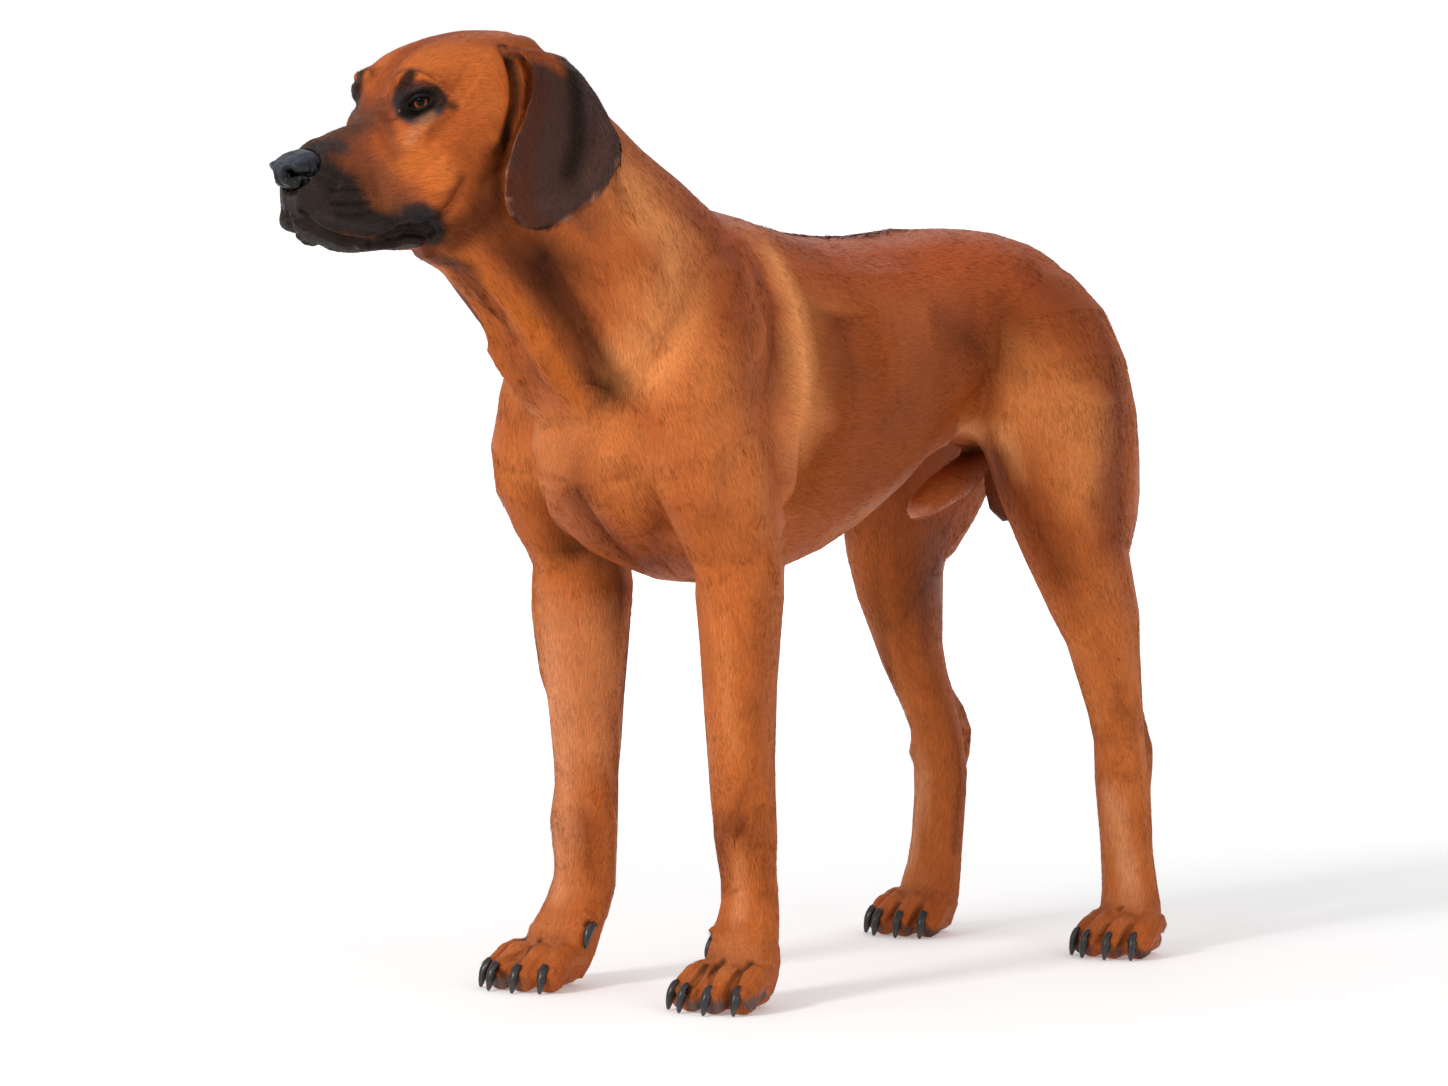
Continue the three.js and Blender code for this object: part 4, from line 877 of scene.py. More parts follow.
headMarks = onTheHead(
    mark("face", (172, 84, 36), 95, 0.75, 1, (0, -120, 30), (0, -190, 0), (0, -60, 30), sides=1),
    mark("skull stripe", (146, 72, 40), 16, 0.3, 0.75, (0, -150, 48), (0, -110, 68), (0, -60, 80), sides=1),
    # painted highlight on the forehead, where the light falls
    mark("highlight on the forehead", (198, 106, 48), 28, 0.3, 0.6, (31, -128, 62), (40, -102, 65), (54, -80, 56)),
    mark("temple", (192, 102, 46), 24, 0.3, 0.5, (64, -104, 30), (66, -83, 22)),
    mark("cheek", (190, 100, 44), 28, 0.2, 0.8, (41, -171, -8), (50, -159, -19), (58, -140, -31)),
    # painted shade on the cheek behind
    mark("cheek behind", (150, 72, 28), 26, 0.1, 0.6, (66, -120, -10), (65, -116, -28), (60, -120, -48)),
    mark("shadow under the cheek", (92, 40, 20), 11, 0.1, 0.7, (47, -150, -63), (52, -139, -60),
        (57, -130, -48), (61, -126, -36)),
    # painted shade before the ear
    mark("before the ear", (84, 34, 10), 21, 0.2, 0.85, (67, -92, -28), (65, -101, -52), (66, -110, -69)),
    mark("top of the ear's root", (150, 78, 42), 9, 0.4, 0.8, (45, -52, 64), (39, -24, 61), (35, -1, 50)),
    # painted shade behind the corner of the mouth
    mark("jaw behind the mouth", (72, 28, 8), 26, 0.2, 0.9, (49, -136, -85), (60, -122, -79),
        (69, -105, -70)),
    # painted shade under the jaw
    mark("under the jaw", (66, 24, 6), 16, 0.2, 0.85, (28, -147, -98), (34, -133, -108), (40, -122, -115)),
    mark("side of the bridge", (142, 74, 48), 15, 0.1, 0.65, (23, -155, 38), (16, -167, 26),
        (16, -185, 16)),
    mark("brown round the mask", (102, 54, 38), 30, 0.05, 0.8, (13, -166, 28), (13, -194, 17),
        (27, -201, 1), (38, -194, -17), (44, -187, -38), (45, -175, -49)),
    # painted shade in the hollow before the eye
    mark("hollow before the eye", (108, 50, 28), 15, 0.1, 0.7, (24, -167, 23), (31, -173, 7),
        (38, -172, -5)),
    mark("bridge", (92, 56, 42), 22, 0.15, 0.85, (-4, -180, 22), (8, -207, 17), (6, -225, 14)),
    mark("mask over the bridge", (50, 44, 46), 19, 0.2, 0.92, (18, -216, 9), (14, -228, 10), (12, -243, 10),
        (16, -253, 5)),
    mark("grey beside the nose", (58, 58, 64), 10, 0.2, 0.7, (9, -235, 9), (19, -233, 2), (26, -233, -6)),
    mark("mask", maskDark, 41, 0.24, 1, (21, -254, -4), (32, -236, -19), (39, -231, -32), (38, -238, -44)),
    mark("whisker pad", maskDark, 20, 0.3, 1, (27, -250, -26), (35, -244, -36), (40, -233, -43)),
    mark("mask front", maskDark, 26, 0.8, 1, (-3, -258, -20), (-2, -258, -42), (15, -252, -55)),
    mark("mask below", maskDark, 22, 0.42, 1, (42, -223, -52), (41, -203, -63), (37, -179, -69),
        (41, -159, -68), (37, -149, -77)),
    mark("corner of the mouth", (34, 32, 38), 13, 0.3, 0.9, (43, -178, -57), (45, -160, -59),
        (41, -149, -71)),
    mark("chin", maskDark, 33, 0.75, 1, (0, -240, -70), (0, -226, -84), (0, -190, -94), sides=1),
    mark("chin sides", maskDark, 21, 0.65, 1, (26, -235, -78), (30, -205, -88), (34, -178, -88),
        (38, -162, -84)),
    mark("fade of the mask", (104, 60, 36), 12, 0.15, 0.5, (40, -200, -23), (43, -198, -40),
        (44, -183, -50)),
    mark("whisker row", whiskerBlack, 3.4, 0.1, 0.9, *pathOf["whisker row"]),
    mark("second whisker row", whiskerBlack, 3.4, 0.1, 0.9, *pathOf["second whisker row"]),
    mark("third whisker row", whiskerBlack, 3.2, 0.1, 0.8, *pathOf["third whisker row"]),
    mark("front of the flew", (60, 54, 56), 4, 0.2, 0.6, (3, -258, -23), (5, -258, -37), (12, -255, -50)),
    mark("flew over the lips", (44, 38, 39), 7, 0.2, 0.6, (33, -245, -48), (40, -229, -56),
        (42, -203, -62)),
    mark("cheek spot", (44, 22, 14), 5.5, 0.25, 0.9, (46, -143, -67), (50, -137, -64), (53, -135, -60)),
    mark("glow over the inner corner", (140, 70, 28), 6.5, 0.3, 0.7, (23, -151, 46), (15, -143, 53),
        (17, -138, 57), (27, -135, 59)),
    mark("dark over the inner corner", (14, 10, 10), 12, 0.3, 0.95, (31, -151, 42), (33, -148, 49),
        (35, -142, 54)),
    # the skin round the eye is black; its bluish tint is a painted sheen
    mark("bluish round the eye", (36, 35, 44), 11.5, 0.3, 0.97, (30, -154, 34), (36, -155, 26),
        (46, -152, 21), (53, -143, 22), (58, -135, 26)),
    mark("upper lid", (34, 27, 29), 8.5, 0.3, 0.97, (37, -150, 39), (41, -146, 45), (49, -140, 45),
        (56, -134, 41), (60, -130, 33)),
    mark("black round the eye", (14, 11, 13), 13.5, 0.66, 1, (38, -147, 28), (43, -142, 31),
        (50, -133, 34)),
    mark("inner corner of the eye", (10, 8, 10), 4.5, 0.3, 0.95, (34, -156, 26), (34, -152, 29)),
    mark("streak behind the eye", (34, 20, 16), 8, 0.05, 0.85, (58, -133, 31), (61, -128, 28),
        (63, -121, 24)),
    # painted shade in the crease beside the nose bridge
    mark("crease beside the nose bridge", (104, 46, 24), 7.5, 0.05, 0.6, (21, -161, 30), (25, -167, 21),
        (34, -169, 10)),
    mark("pale under the eye", (180, 116, 78), 10, 0.05, 0.5, (55, -142, 18), (51, -151, 13), (47, -157, 8),
        (46, -161, 2)),
    mark("brown patch on the cheekbone", (116, 54, 22), 9, 0.1, 0.65, (62, -128, 17), (60, -135, 11),
        (58, -144, 4)),
    # painted shade in the wrinkle over the lid
    mark("line over the lid", (88, 30, 12), 2.8, 0.2, 0.85, (39, -146, 47), (44, -142, 48), (51, -137, 47),
        (56, -134, 43), (59, -130, 37)),
    # painted shade on the throat behind the chin
    mark("throat behind the chin", (110, 46, 16), 20, 0.2, 0.9, (0, -146, -98), (16, -142, -98)),
    # painted shade in the wrinkle over the brow
    mark("line over the brow", (118, 50, 20), 3.2, 0.2, 0.75, *pathOf["wrinkle over the brow"]),
    # painted shade in the hollow before the ear
    mark("hollow before the ear", (18, 7, 4), 9.5, 0.3, 0.97, *pathOf["hollow before the ear"],
        (68, -85, -22)),
    mark("shade before the ear", (70, 28, 10), 9, 0.2, 0.8, (68, -85, -21), (66, -90, -37), (69, -95, -57)),
    mark("fold before the ear", (124, 54, 24), 5.5, 0.4, 0.95, (59, -41, 52), (60, -37, 40), (64, -40, 29),
        (65, -44, 19), (67, -51, 10)),
    mark("line of the lips", (8, 6, 7), 5, 0.4, 0.95, *shifted(lipLine, 0, -3)),
)


earMarks = onTheHead(
    mark("rear of the ear", (78, 48, 42), 15, 0.3, 0.7, (85, 18, -20), (93, 6, -39), (96, -14, -58)),
    mark("front of the ear", (66, 28, 18), 15, 0.1, 0.7, (80, -41, 27), (84, -55, 3), (87, -72, -28),
        (90, -80, -56)),
    mark("root of the ear", (140, 66, 30), 15, 0.25, 0.8, (65, -41, 56), (69, -23, 48), (74, -10, 37)),
    # painted shade in the fold of the ear
    mark("dark fold of the ear", (16, 8, 8), 16, 0.1, 0.92, (74, -1, 31), (88, -11, 1), (95, -22, -26),
        (97, -37, -49)),
    mark("low front of the ear", (76, 32, 20), 14, 0.3, 0.75, (85, -89, -45), (88, -89, -66),
        (90, -77, -84)),
    mark("foot of the ear", (74, 48, 42), 14, 0.2, 0.5, (94, -66, -72), (95, -43, -79)),
    mark("top of the root", (150, 76, 44), 9, 0.4, 0.9, (47, -49, 62), (45, -24, 57), (65, -15, 50)),
    mark("rim of the ear", (158, 104, 78), 2.4, 0.35, 0.85, (50, -54, 58), (60, -44, 56), (69, -42, 38),
        (76, -54, 18), (79, -70, -4), (81, -88, -28), (83, -98, -52), (84, -99, -70), (85, -92, -85),
        (85, -74, -94), (85, -58, -95), (87, -34, -88), (88, -10, -79), (89, 14, -66), (88, 32, -50)),
    mark("inner fold of the ear", (128, 58, 28), 6, 0.4, 0.8, (50, -54, 58), (60, -46, 56), (69, -44, 38),
        (76, -56, 18), (79, -72, -4)),
)


# where the skin shows without hair
lipSpots = ((20, -259, -50), (28, -253, -60), (38, -241, -72), (42, -226, -80), (44, -207, -84),
            (45, -185, -82), (44, -158, -82))
bareSkin = [
    *onTheHead(
        track((44, -141, 31), reach=15),
        track((32, -153, 24), reach=7),
        track(*lipSpots, reach=9)),
    track((98, 51, 108), (99, 53, 98), reach=10),
]
earReach = 0.004  # how far from the CAD's ears the colour of the ears goes
paintStep = 0.006
bareEdge = 2.5  # how sharply the bare places end


def nearParts(places, names, reach):
    out = np.zeros(len(places))
    for name in names:
        low, high = (np.array(c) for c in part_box(name))
        close = np.nonzero(np.all((places > low - reach) & (places < high + reach), axis=1))[0]
        tree = BVHTree.FromObject(frame["nodes"][name], bpy.context.evaluated_depsgraph_get())
        for i in close:
            hit = tree.find_nearest(Vector(places[i]), reach)
            if hit[0] is not None:
                out[i] = max(out[i], 1 - hit[3] / reach)
    return np.clip(out * 2, 0, 1)


def paint(colours, places, marks, allowed=None):
    for row in marks:
        for path in bothSides(row):
            reach = row["reach"] / 1000
            path = smoothPath(path, paintStep)
            chosen = np.nonzero(closeTo(places, path, reach))[0]
            if not len(chosen):
                print(f"  {row['name']} touches nothing")
                continue
            distance, _ = near(places[chosen], path)
            amount = row["strength"] * smoothStep(np.clip((1 - distance / reach) / (1 - row["core"]), 0, 1))
            if allowed is not None:
                amount = amount * allowed[chosen]
            colours[chosen] += amount[:, None] * (linear(row["colour"]) - colours[chosen])
    return colours


def bareShare(places):
    bare = np.zeros(len(places))
    for row in bareSkin:
        for share in sharesOfReach(places, row, paintStep):
            bare = np.maximum(bare, smoothStep(np.clip((1 - share) * bareEdge, 0, 1)))
    return bare


def markSkin(skin):
    places = cornersOf(skin)
    ears = nearParts(places, ("ear_left", "ear_right"), earReach)
    colours = np.tile(linear(coatColour), (len(places), 1))
    paint(colours, places, bodyMarks + headMarks, 1 - ears)
    colours += ears[:, None] * (linear(earColour) - colours)
    paint(colours, places, earMarks, ears)
    setColours(skin.data, colours)
    bare = skin.data.attributes.new("bare", "FLOAT", "POINT")
    bare.data.foreach_set("value", bareShare(places).astype(np.float32))
    report("markings painted")
    return colours


# lie of the coat: combed along these paths, from the root of each to its end
combing = [
    *onTheHead(
        track((0, -250, 12), (0, -200, 20), (0, -150, 46), (0, -90, 72), (0, -30, 80), (0, 20, 60), sides=1),
        track((24, -250, -30), (36, -215, -30), (42, -170, -30), (56, -120, -28), (66, -70, -30)),
        track((18, -240, 6), (20, -200, 12), (24, -170, 22), (26, -155, 40), (34, -110, 62), (40, -60, 70)),
        track((30, -245, -55), (42, -215, -66), (44, -180, -66), (52, -140, -66)),
        track((34, -160, 20), (50, -142, 12), (60, -120, 12), (66, -80, 14)),
        track((40, -146, 44), (54, -130, 46), (62, -100, 40), (66, -70, 30)),
        track((60, -120, -10), (62, -100, -40), (56, -80, -80), (44, -40, -110), (44, 0, -140)),
        track((0, -250, -60), (0, -215, -85), (0, -170, -92), (0, -110, -104), (0, -50, -118), sides=1),
        track((62, -40, 56), (70, -60, 20), (72, -72, -20), (74, -76, -60), (80, -70, -90)),
        track((66, -10, 46), (84, -10, 10), (92, -10, -30), (92, -30, -60), (84, -60, -92))),
    # neck
    track((0, -60, 800), (0, 0, 748), (0, 60, 700), (0, 120, 680), sides=1),
    track((52, -100, 760), (72, -70, 700), (86, -40, 640), (96, -20, 580)),
    track((40, -170, 690), (56, -130, 640), (60, -110, 580), (50, -104, 520)),
    track((4, -235, 660), (4, -190, 610), (2, -150, 560), (0, -110, 500), (0, -98, 462), sides=1),
    # breast and shoulders
    track((0, -40, 352), (0, -66, 380), (0, -88, 430), sides=1),
    track((50, -110, 500), (62, -100, 460), (70, -84, 420), (84, -50, 380)),
    track((90, -70, 540), (104, -50, 480), (104, -30, 420), (100, -10, 380)),
    track((60, 0, 680), (92, 0, 600), (106, 10, 520), (108, 20, 450), (104, 40, 390)),
    # ribs, loin and belly
    track((60, 60, 660), (96, 110, 620), (108, 200, 590), (104, 300, 590), (90, 390, 590)),
    track((100, 80, 500), (108, 160, 490), (104, 260, 500), (84, 350, 520)),
    track((80, 80, 400), (84, 160, 396), (70, 260, 420), (50, 340, 456)),
    track((0, 0, 336), (0, 120, 340), (0, 240, 376), (0, 330, 420), sides=1),
    track((34, 90, 690), (40, 200, 664), (40, 330, 662), (40, 440, 662), (36, 530, 640)),
    # the ridge runs the other way
    track((0, 350, 666), (0, 260, 662), (0, 190, 664), (0, 120, 680), sides=1, weight=0.6),
    # hindquarters
    track((60, 440, 640), (92, 490, 580), (108, 500, 500), (112, 500, 420), (110, 500, 330)),
    track((88, 380, 570), (106, 390, 500), (112, 400, 430), (110, 430, 350), (110, 480, 260)),
    track((60, 560, 590), (80, 585, 500), (90, 570, 420), (98, 548, 320), (106, 560, 220)),
    track((60, 420, 440), (66, 440, 380), (80, 470, 300), (90, 520, 220)),
    track((112, 560, 190), (114, 552, 120), (120, 530, 60)),
    track((110, 516, 170), (116, 512, 110), (124, 490, 58), (125, 460, 34), (125, 440, 12)),
    # forelegs
    track((112, 20, 380), (114, 20, 280), (114, 12, 180), (120, 0, 100)),
    track((95, -26, 380), (95, -16, 280), (98, -14, 180), (106, -26, 100), (113, -60, 46), (113, -86, 14)),
    track((70, 10, 350), (74, 16, 260), (82, 12, 170), (92, 0, 100)),
    track((96, 64, 390), (98, 50, 290), (100, 46, 190), (106, 30, 90)),
    # tail
    track((0, 540, 622), (4, 590, 590), (12, 606, 480), (22, 604, 340), (30, 592, 180), sides=1),
]
combSetup = {"step": 0.02, "blend": 0.00015, "block": 8000}  # block: corners worked on at once


def combSkin(skin):
    spots, ways, weights = [], [], []
    for row in combing:
        for path in bothSides(row):
            path = smoothPath(path, combSetup["step"])
            spots.append((path[1:] + path[:-1]) / 2)
            ways.append(unit(path[1:] - path[:-1]))
            weights.append(np.full(len(path) - 1, row.get("weight", 1.0)))
    spots, ways, weights = np.concatenate(spots), np.concatenate(ways), np.concatenate(weights)
    places, normals = cornersOf(skin), normalsOf(skin)
    lie = np.zeros_like(places)
    for start in range(0, len(places), combSetup["block"]):
        block = slice(start, start + combSetup["block"])
        gap = np.linalg.norm(places[block, None] - spots[None], axis=2)
        share = weights / (gap**2 + combSetup["blend"]) ** 2
        lie[block] = share @ ways / share.sum(1, keepdims=True)
    lie = unit(lie - np.sum(lie * normals, axis=1, keepdims=True) * normals)
    setVectors(skin, "lie", lie)
    report("coat combed")
    return lie


# coat: flat-lying tufts of solid mesh, shorter and finer on the head and feet
# length, width, rise and sink in millimetres; cover is how often the tufts cover the skin
coatSetup = {
    "seed": 11, "length": 8.0, "width": 0.7, "rise": 0.4, "cover": 0.5, "sink": 0.15,
    "shade": 0.06,  # how much the tone differs from tuft to tuft, and then the other spreads
    "stray": 0.13, "lengthSpread": 0.22, "widthSpread": 0.2, "riseSpread": 0.4, "bend": 0.08, "tilt": 0.10,
    "tones": (0.96, 0.96, 1.02, 1.14),  # at the two corners of the root, the middle and the tip; the lighter tip is a painted highlight on the hair
    "middleAt": 0.45, "middleRise": 0.35, "middleBend": 0.4,  # the middle corner, in shares of the tip's
    "clear": 0.00008,  # what the middle stands off the skin besides, in metres
    "zoneEdge": 2.2, "bareStart": 0.9, "bareBlend": 0.15,  # how zones and bare spots end, in shares of reach
}
coatZones = [
    track((0, -120, 640), (0, -90, 480), reach=130, length=10.5, width=0.9, sides=1),  # neck and breast
    track((100, 10, 300), (104, 0, 120), (113, -20, 60), reach=70, length=6, width=0.62, rise=0.25),
    track((108, 520, 260), (114, 540, 130), (125, 500, 60), reach=70, length=6, width=0.62, rise=0.25),
    track((60, 590, 560), (80, 590, 480), (90, 570, 380), reach=40, length=14, width=0.9, rise=1.2),
    track((0, 60, 336), (0, 200, 350), (0, 300, 400), reach=45, length=11, rise=1.0, sides=1),  # belly
    *onTheHead(
        track((0, -20, 0), (0, -120, 10), reach=120, length=4.2, width=0.5, rise=0.22, sides=1),
        track((72, -40, 30), (84, -40, -20), (80, -50, -70), reach=60, length=3.6, width=0.5, rise=0.2),
        track((0, -250, -40), (0, -200, -40), reach=62, length=2.4, width=0.36, rise=0.12, sides=1)),
    track((113, -60, 20), (113, 0, 20), reach=62, length=3.4, width=0.5, rise=0.15),  # paws
    track((125, 450, 20), (125, 510, 20), reach=60, length=3.4, width=0.5, rise=0.15),
    track((0, 112, 688), (0, 200, 666), (0, 350, 670), reach=14, length=13, width=1.0, rise=1.3, cover=1.6,
          sides=1),  # ridge
    track((8, 600, 540), (30, 592, 180), reach=34, length=10, rise=1.0, sides=1),  # tail
]
# no tufts on the bare places; where a height is given, only below it
bareSpots = [
    *onTheHead(
        track((0, -262, -6), reach=17, sides=1),
        track((44, -141, 31), reach=16),
        track((32, -153, 24), reach=7),
        track((20, -259, -49), *lipSpots[1:], reach=8)),
    track((113, -110, 0), (113, 40, 0), reach=44, below=9),
    track((125, 410, 0), (125, 550, 0), reach=44, below=9),
]
# a tuft belongs to the piece whose path is nearest to its root
coatPieces = [
    *onTheHead(
        track((0, -270, -30), (0, -200, -30), (0, -160, -10), name="coat_muzzle"),
        track((0, -100, 20), (0, -20, 20), name="coat_head"),
        track((90, -30, 0), (90, -40, -60), name="coat_ears")),
    track((0, -60, 690), (0, -120, 560), name="coat_neck"),
    track((90, 0, 560), (90, 10, 420), (0, -60, 420), name="coat_shoulders"),
    track((100, 10, 330), (110, 0, 150), (113, -10, 20), name="coat_forelegs"),
    track((0, 130, 640), (0, 330, 640), name="coat_back"),
    track((90, 130, 500), (60, 320, 500), (0, 150, 380), name="coat_flanks"),
    track((0, 480, 620), (80, 500, 540), name="coat_rump"),
    track((100, 480, 420), (108, 480, 340), name="coat_thighs"),
    track((108, 530, 240), (115, 540, 120), (125, 500, 20), name="coat_hind_legs"),
]
coatSlots = {"coat_ears": "ear_coat", "coat_muzzle": "mask"}  # slots named for two pieces, coat for the others; the lookup below doesn't set them
tuftFaces = np.array([(2, 1, 0), (1, 3, 0), (2, 3, 1), (0, 3, 2)])
tuftPatch = np.array([(0.0, 0.0), (0.0015, 0.0), (0.00075, 0.0013), (0.0, 0.0015)]) - 0.0007


def zoneValue(places, key):
    value = np.full(len(places), float(coatSetup[key]))
    for zone in coatZones:
        if key in zone:
            for share in sharesOfReach(places, zone, 0.03):
                inZone = smoothStep(np.clip((1 - share) * coatSetup["zoneEdge"], 0, 1))
                value += inZone * (zone[key] - value)
    return value


def meshArray(items, field, count, kind):
    values = np.empty(count, kind)
    items.foreach_get(field, values)
    return values


def growCoat(skin, colours, lie):
    draw = np.random.default_rng(coatSetup["seed"])
    mesh = skin.data
    places, normals = cornersOf(skin), normalsOf(skin)
    count = len(mesh.polygons)
    corners = meshArray(mesh.polygons, "vertices", count * 3, np.int32).reshape(-1, 3)
    spread = meshArray(mesh.uv_layers["OFBake"].data, "uv", count * 6, np.float32).reshape(-1, 3, 2)
    area = meshArray(mesh.polygons, "area", count, np.float32)
    middle = places[corners].mean(1)
    length, width, rise = (zoneValue(middle, key) for key in ("length", "width", "rise"))
    hairy = np.ones(count)
    for spot in bareSpots:
        for share in sharesOfReach(middle, spot):
            kept = np.clip((share - coatSetup["bareStart"]) / coatSetup["bareBlend"], 0, 1)
            hairy *= np.maximum(kept, middle[:, 2] * 1000 > spot["below"]) if "below" in spot else kept
    wanted = zoneValue(middle, "cover") * hairy * area * 1e6 / (length * width)
    number = np.floor(wanted + draw.random(count)).astype(int)
    face = np.repeat(np.arange(count), number)
    many = len(face)
    a, b = draw.random(many), draw.random(many)
    over = a + b > 1
    a[over], b[over] = 1 - a[over], 1 - b[over]
    share = np.stack([1 - a - b, a, b], axis=1)

    def mix(values):
        return np.einsum("ij,ijk->ik", share, values)

    def spreadOf(values, name):
        return (values[face] * np.exp(draw.normal(0, coatSetup[name], many)) / 1000)[:, None]

    root, normal = mix(places[corners[face]]), unit(mix(normals[corners[face]]))
    way = mix(lie[corners[face]]) + draw.normal(0, coatSetup["stray"], (many, 3))
    way = unit(way - np.sum(way * normal, axis=1, keepdims=True) * normal)
    side = np.cross(normal, way)
    tall, wide = spreadOf(length, "lengthSpread"), spreadOf(width, "widthSpread")
    lift = spreadOf(rise, "riseSpread")
    sink = normal * (coatSetup["sink"] / 1000)
    bend = draw.normal(0, coatSetup["bend"], (many, 1)) * tall
    middleUp = lift * coatSetup["middleRise"] + coatSetup["clear"]
    verts = np.stack([
        root - side * wide / 2 - sink,
        root + side * wide / 2 - sink,
        root + way * tall * coatSetup["middleAt"] + normal * middleUp + side * bend * coatSetup["middleBend"],
        root + way * tall + normal * lift + side * bend,
    ], axis=1)
    base = mix(colours[corners[face]]) * np.exp(draw.normal(0, coatSetup["shade"], many))[:, None]
    tint = np.stack([base * tone for tone in coatSetup["tones"]], axis=1)
    # the shading follows the skin, with a little spread from tuft to tuft
    tilt = unit(normal + draw.normal(0, coatSetup["tilt"], (many, 3)))
    shading = np.repeat(tilt[:, None], 4, axis=1)
    patch = mix(spread[face])
    report(f"{many} tufts laid")
    return cutCoat(root, verts, tint, shading, patch)


def cutCoat(root, verts, tint, shading, patch):
    gaps = [np.minimum(*(near(root, path)[0] for path in bothSides(row))) for row in coatPieces]
    owner = np.argmin(gaps, axis=0)
    made = []
    for k, row in enumerate(coatPieces):
        mine = np.nonzero(owner == k)[0]
        piece = bpy.data.meshes.new(row["name"])
        corner = verts[mine].reshape(-1, 3)
        piece.vertices.add(len(corner))
        piece.vertices.foreach_set("co", corner.astype(np.float32).ravel())
        index = (np.arange(len(mine))[:, None, None] * 4 + tuftFaces[None]).reshape(-1)
        piece.loops.add(len(index))
        piece.loops.foreach_set("vertex_index", index.astype(np.int32))
        piece.polygons.add(len(mine) * 4)
        piece.polygons.foreach_set("loop_start", np.arange(0, len(index), 3, dtype=np.int32))
        piece.uv_layers.new(name="OFBake")
        uv = patch[mine][:, None, :] + tuftPatch[tuftFaces.ravel()][None]
        piece.uv_layers["OFBake"].data.foreach_set("uv", uv.astype(np.float32).ravel())
        setColours(piece, tint[mine].reshape(-1, 3))
        piece.update(calc_edges=True)
        piece.validate()
        piece.shade_smooth()
        piece.normals_split_custom_set_from_vertices(shading[mine].reshape(-1, 3))
        tufts = bpy.data.objects.new(row["name"], piece)
        bpy.context.scene.collection.objects.link(tufts)
        print(f"  {row['name']}: {len(mine) * 4} triangles")
        made.append(tufts)
    report("coat grown")
    return made


# materials
def newMaterial(name, colour, **sockets):
    material = bpy.data.materials.new(name)
    material.use_nodes = True
    shader = material.node_tree.nodes["Principled BSDF"]
    shader.inputs["Base Color"].default_value = (*linear(colour), 1)
    for socket, value in sockets.items():
        shader.inputs[socket.replace("_", " ")].default_value = value
    return material, material.node_tree, shader


# a node with its settings, and its sockets given a number or wired to another socket
def node(tree, kind, sockets=None, **settings):
    made = tree.nodes.new(kind)
    for name, value in settings.items():
        setattr(made, name, value)
    for name, value in (sockets or {}).items():
        if isinstance(value, bpy.types.NodeSocket):
            tree.links.new(value, made.inputs[name])
        else:
            made.inputs[name].default_value = value
    return made


def calc(tree, operation, *values):
    return node(tree, "ShaderNodeMath", dict(enumerate(values)), operation=operation).outputs[0]


def mapRange(tree, value, low=0.0, high=1.0, toLow=0.0, toHigh=1.0, kind="LINEAR"):
    sockets = {"Value": value, "From Min": low, "From Max": high, "To Min": toLow, "To Max": toHigh}
    return node(tree, "ShaderNodeMapRange", sockets, interpolation_type=kind).outputs[0]


def noise(tree, place, scale, detail, roughness=0.5, dimensions="3D"):
    sockets = {"Vector": place, "Scale": scale, "Detail": detail, "Roughness": roughness}
    return node(tree, "ShaderNodeTexNoise", sockets, noise_dimensions=dimensions).outputs[0]


def tinted(tree, colour, tone):
    return node(tree, "ShaderNodeVectorMath", {0: colour, "Scale": tone}, operation="SCALE").outputs[0]


def plain(tree, colour):
    made = node(tree, "ShaderNodeRGB")
    made.outputs[0].default_value = (*colour, 1)
    return made.outputs[0]


def attribute(tree, name, output):
    return node(tree, "ShaderNodeAttribute", attribute_name=name).outputs[output]


def objectPlace(tree):
    return node(tree, "ShaderNodeTexCoord").outputs["Object"]


def baseColour(tree, shader, *layers):
    colour = layers[0]
    for tone in layers[1:]:
        colour = tinted(tree, colour, tone)
    tree.links.new(colour, shader.inputs["Base Color"])


def bumpInto(tree, shader, height, strength, distance):
    bump = node(tree, "ShaderNodeBump", {"Height": height, "Strength": strength, "Distance": distance})
    tree.links.new(bump.outputs[0], shader.inputs["Normal"])


def newGroup(name, vectors, numbers, output):
    tree = bpy.data.node_groups.new(name, "ShaderNodeTree")
    for label in vectors:
        tree.interface.new_socket(label, in_out="INPUT", socket_type="NodeSocketVector")
    for label in numbers:
        tree.interface.new_socket(label, in_out="INPUT", socket_type="NodeSocketFloat")
    tree.interface.new_socket(output, in_out="OUTPUT", socket_type="NodeSocketFloat")
    return tree, tree.nodes.new("NodeGroupInput").outputs, tree.nodes.new("NodeGroupOutput").inputs[output]


# streaks of fine noise drawn out along the lie of the hair
def hairStreakGroup(samples=6):
    tree, given, streak = newGroup("hairStreaks", ("Place", "Lie"), ("Scale", "Step"), "Streak")
    total = None
    for k in range(samples):
        along = tinted(tree, given["Lie"], calc(tree, "MULTIPLY", given["Step"], k - (samples - 1) / 2))
        spot = node(tree, "ShaderNodeVectorMath", {0: given["Place"], 1: along}, operation="ADD").outputs[0]
        fine = noise(tree, spot, given["Scale"], 0.0)
        total = fine if total is None else calc(tree, "ADD", total, fine)
    tree.links.new(mapRange(tree, calc(tree, "DIVIDE", total, samples), 0.36, 0.64), streak)
    return tree


# soft uneven tone, broad patches with smaller ones in them
def mottleGroup():
    tree, given, tone = newGroup("mottle", ("Place",), ("Scale", "Low", "High"), "Tone")
    patches = noise(tree, given["Place"], given["Scale"], 3.0, 0.55)
    tree.links.new(mapRange(tree, patches, 0.3, 0.7, given["Low"], given["High"]), tone)
    return tree


def mottled(tree, group, scale, low, high):
    sockets = {"Place": objectPlace(tree), "Scale": scale, "Low": low, "High": high}
    return node(tree, "ShaderNodeGroup", sockets, node_tree=group).outputs[0]


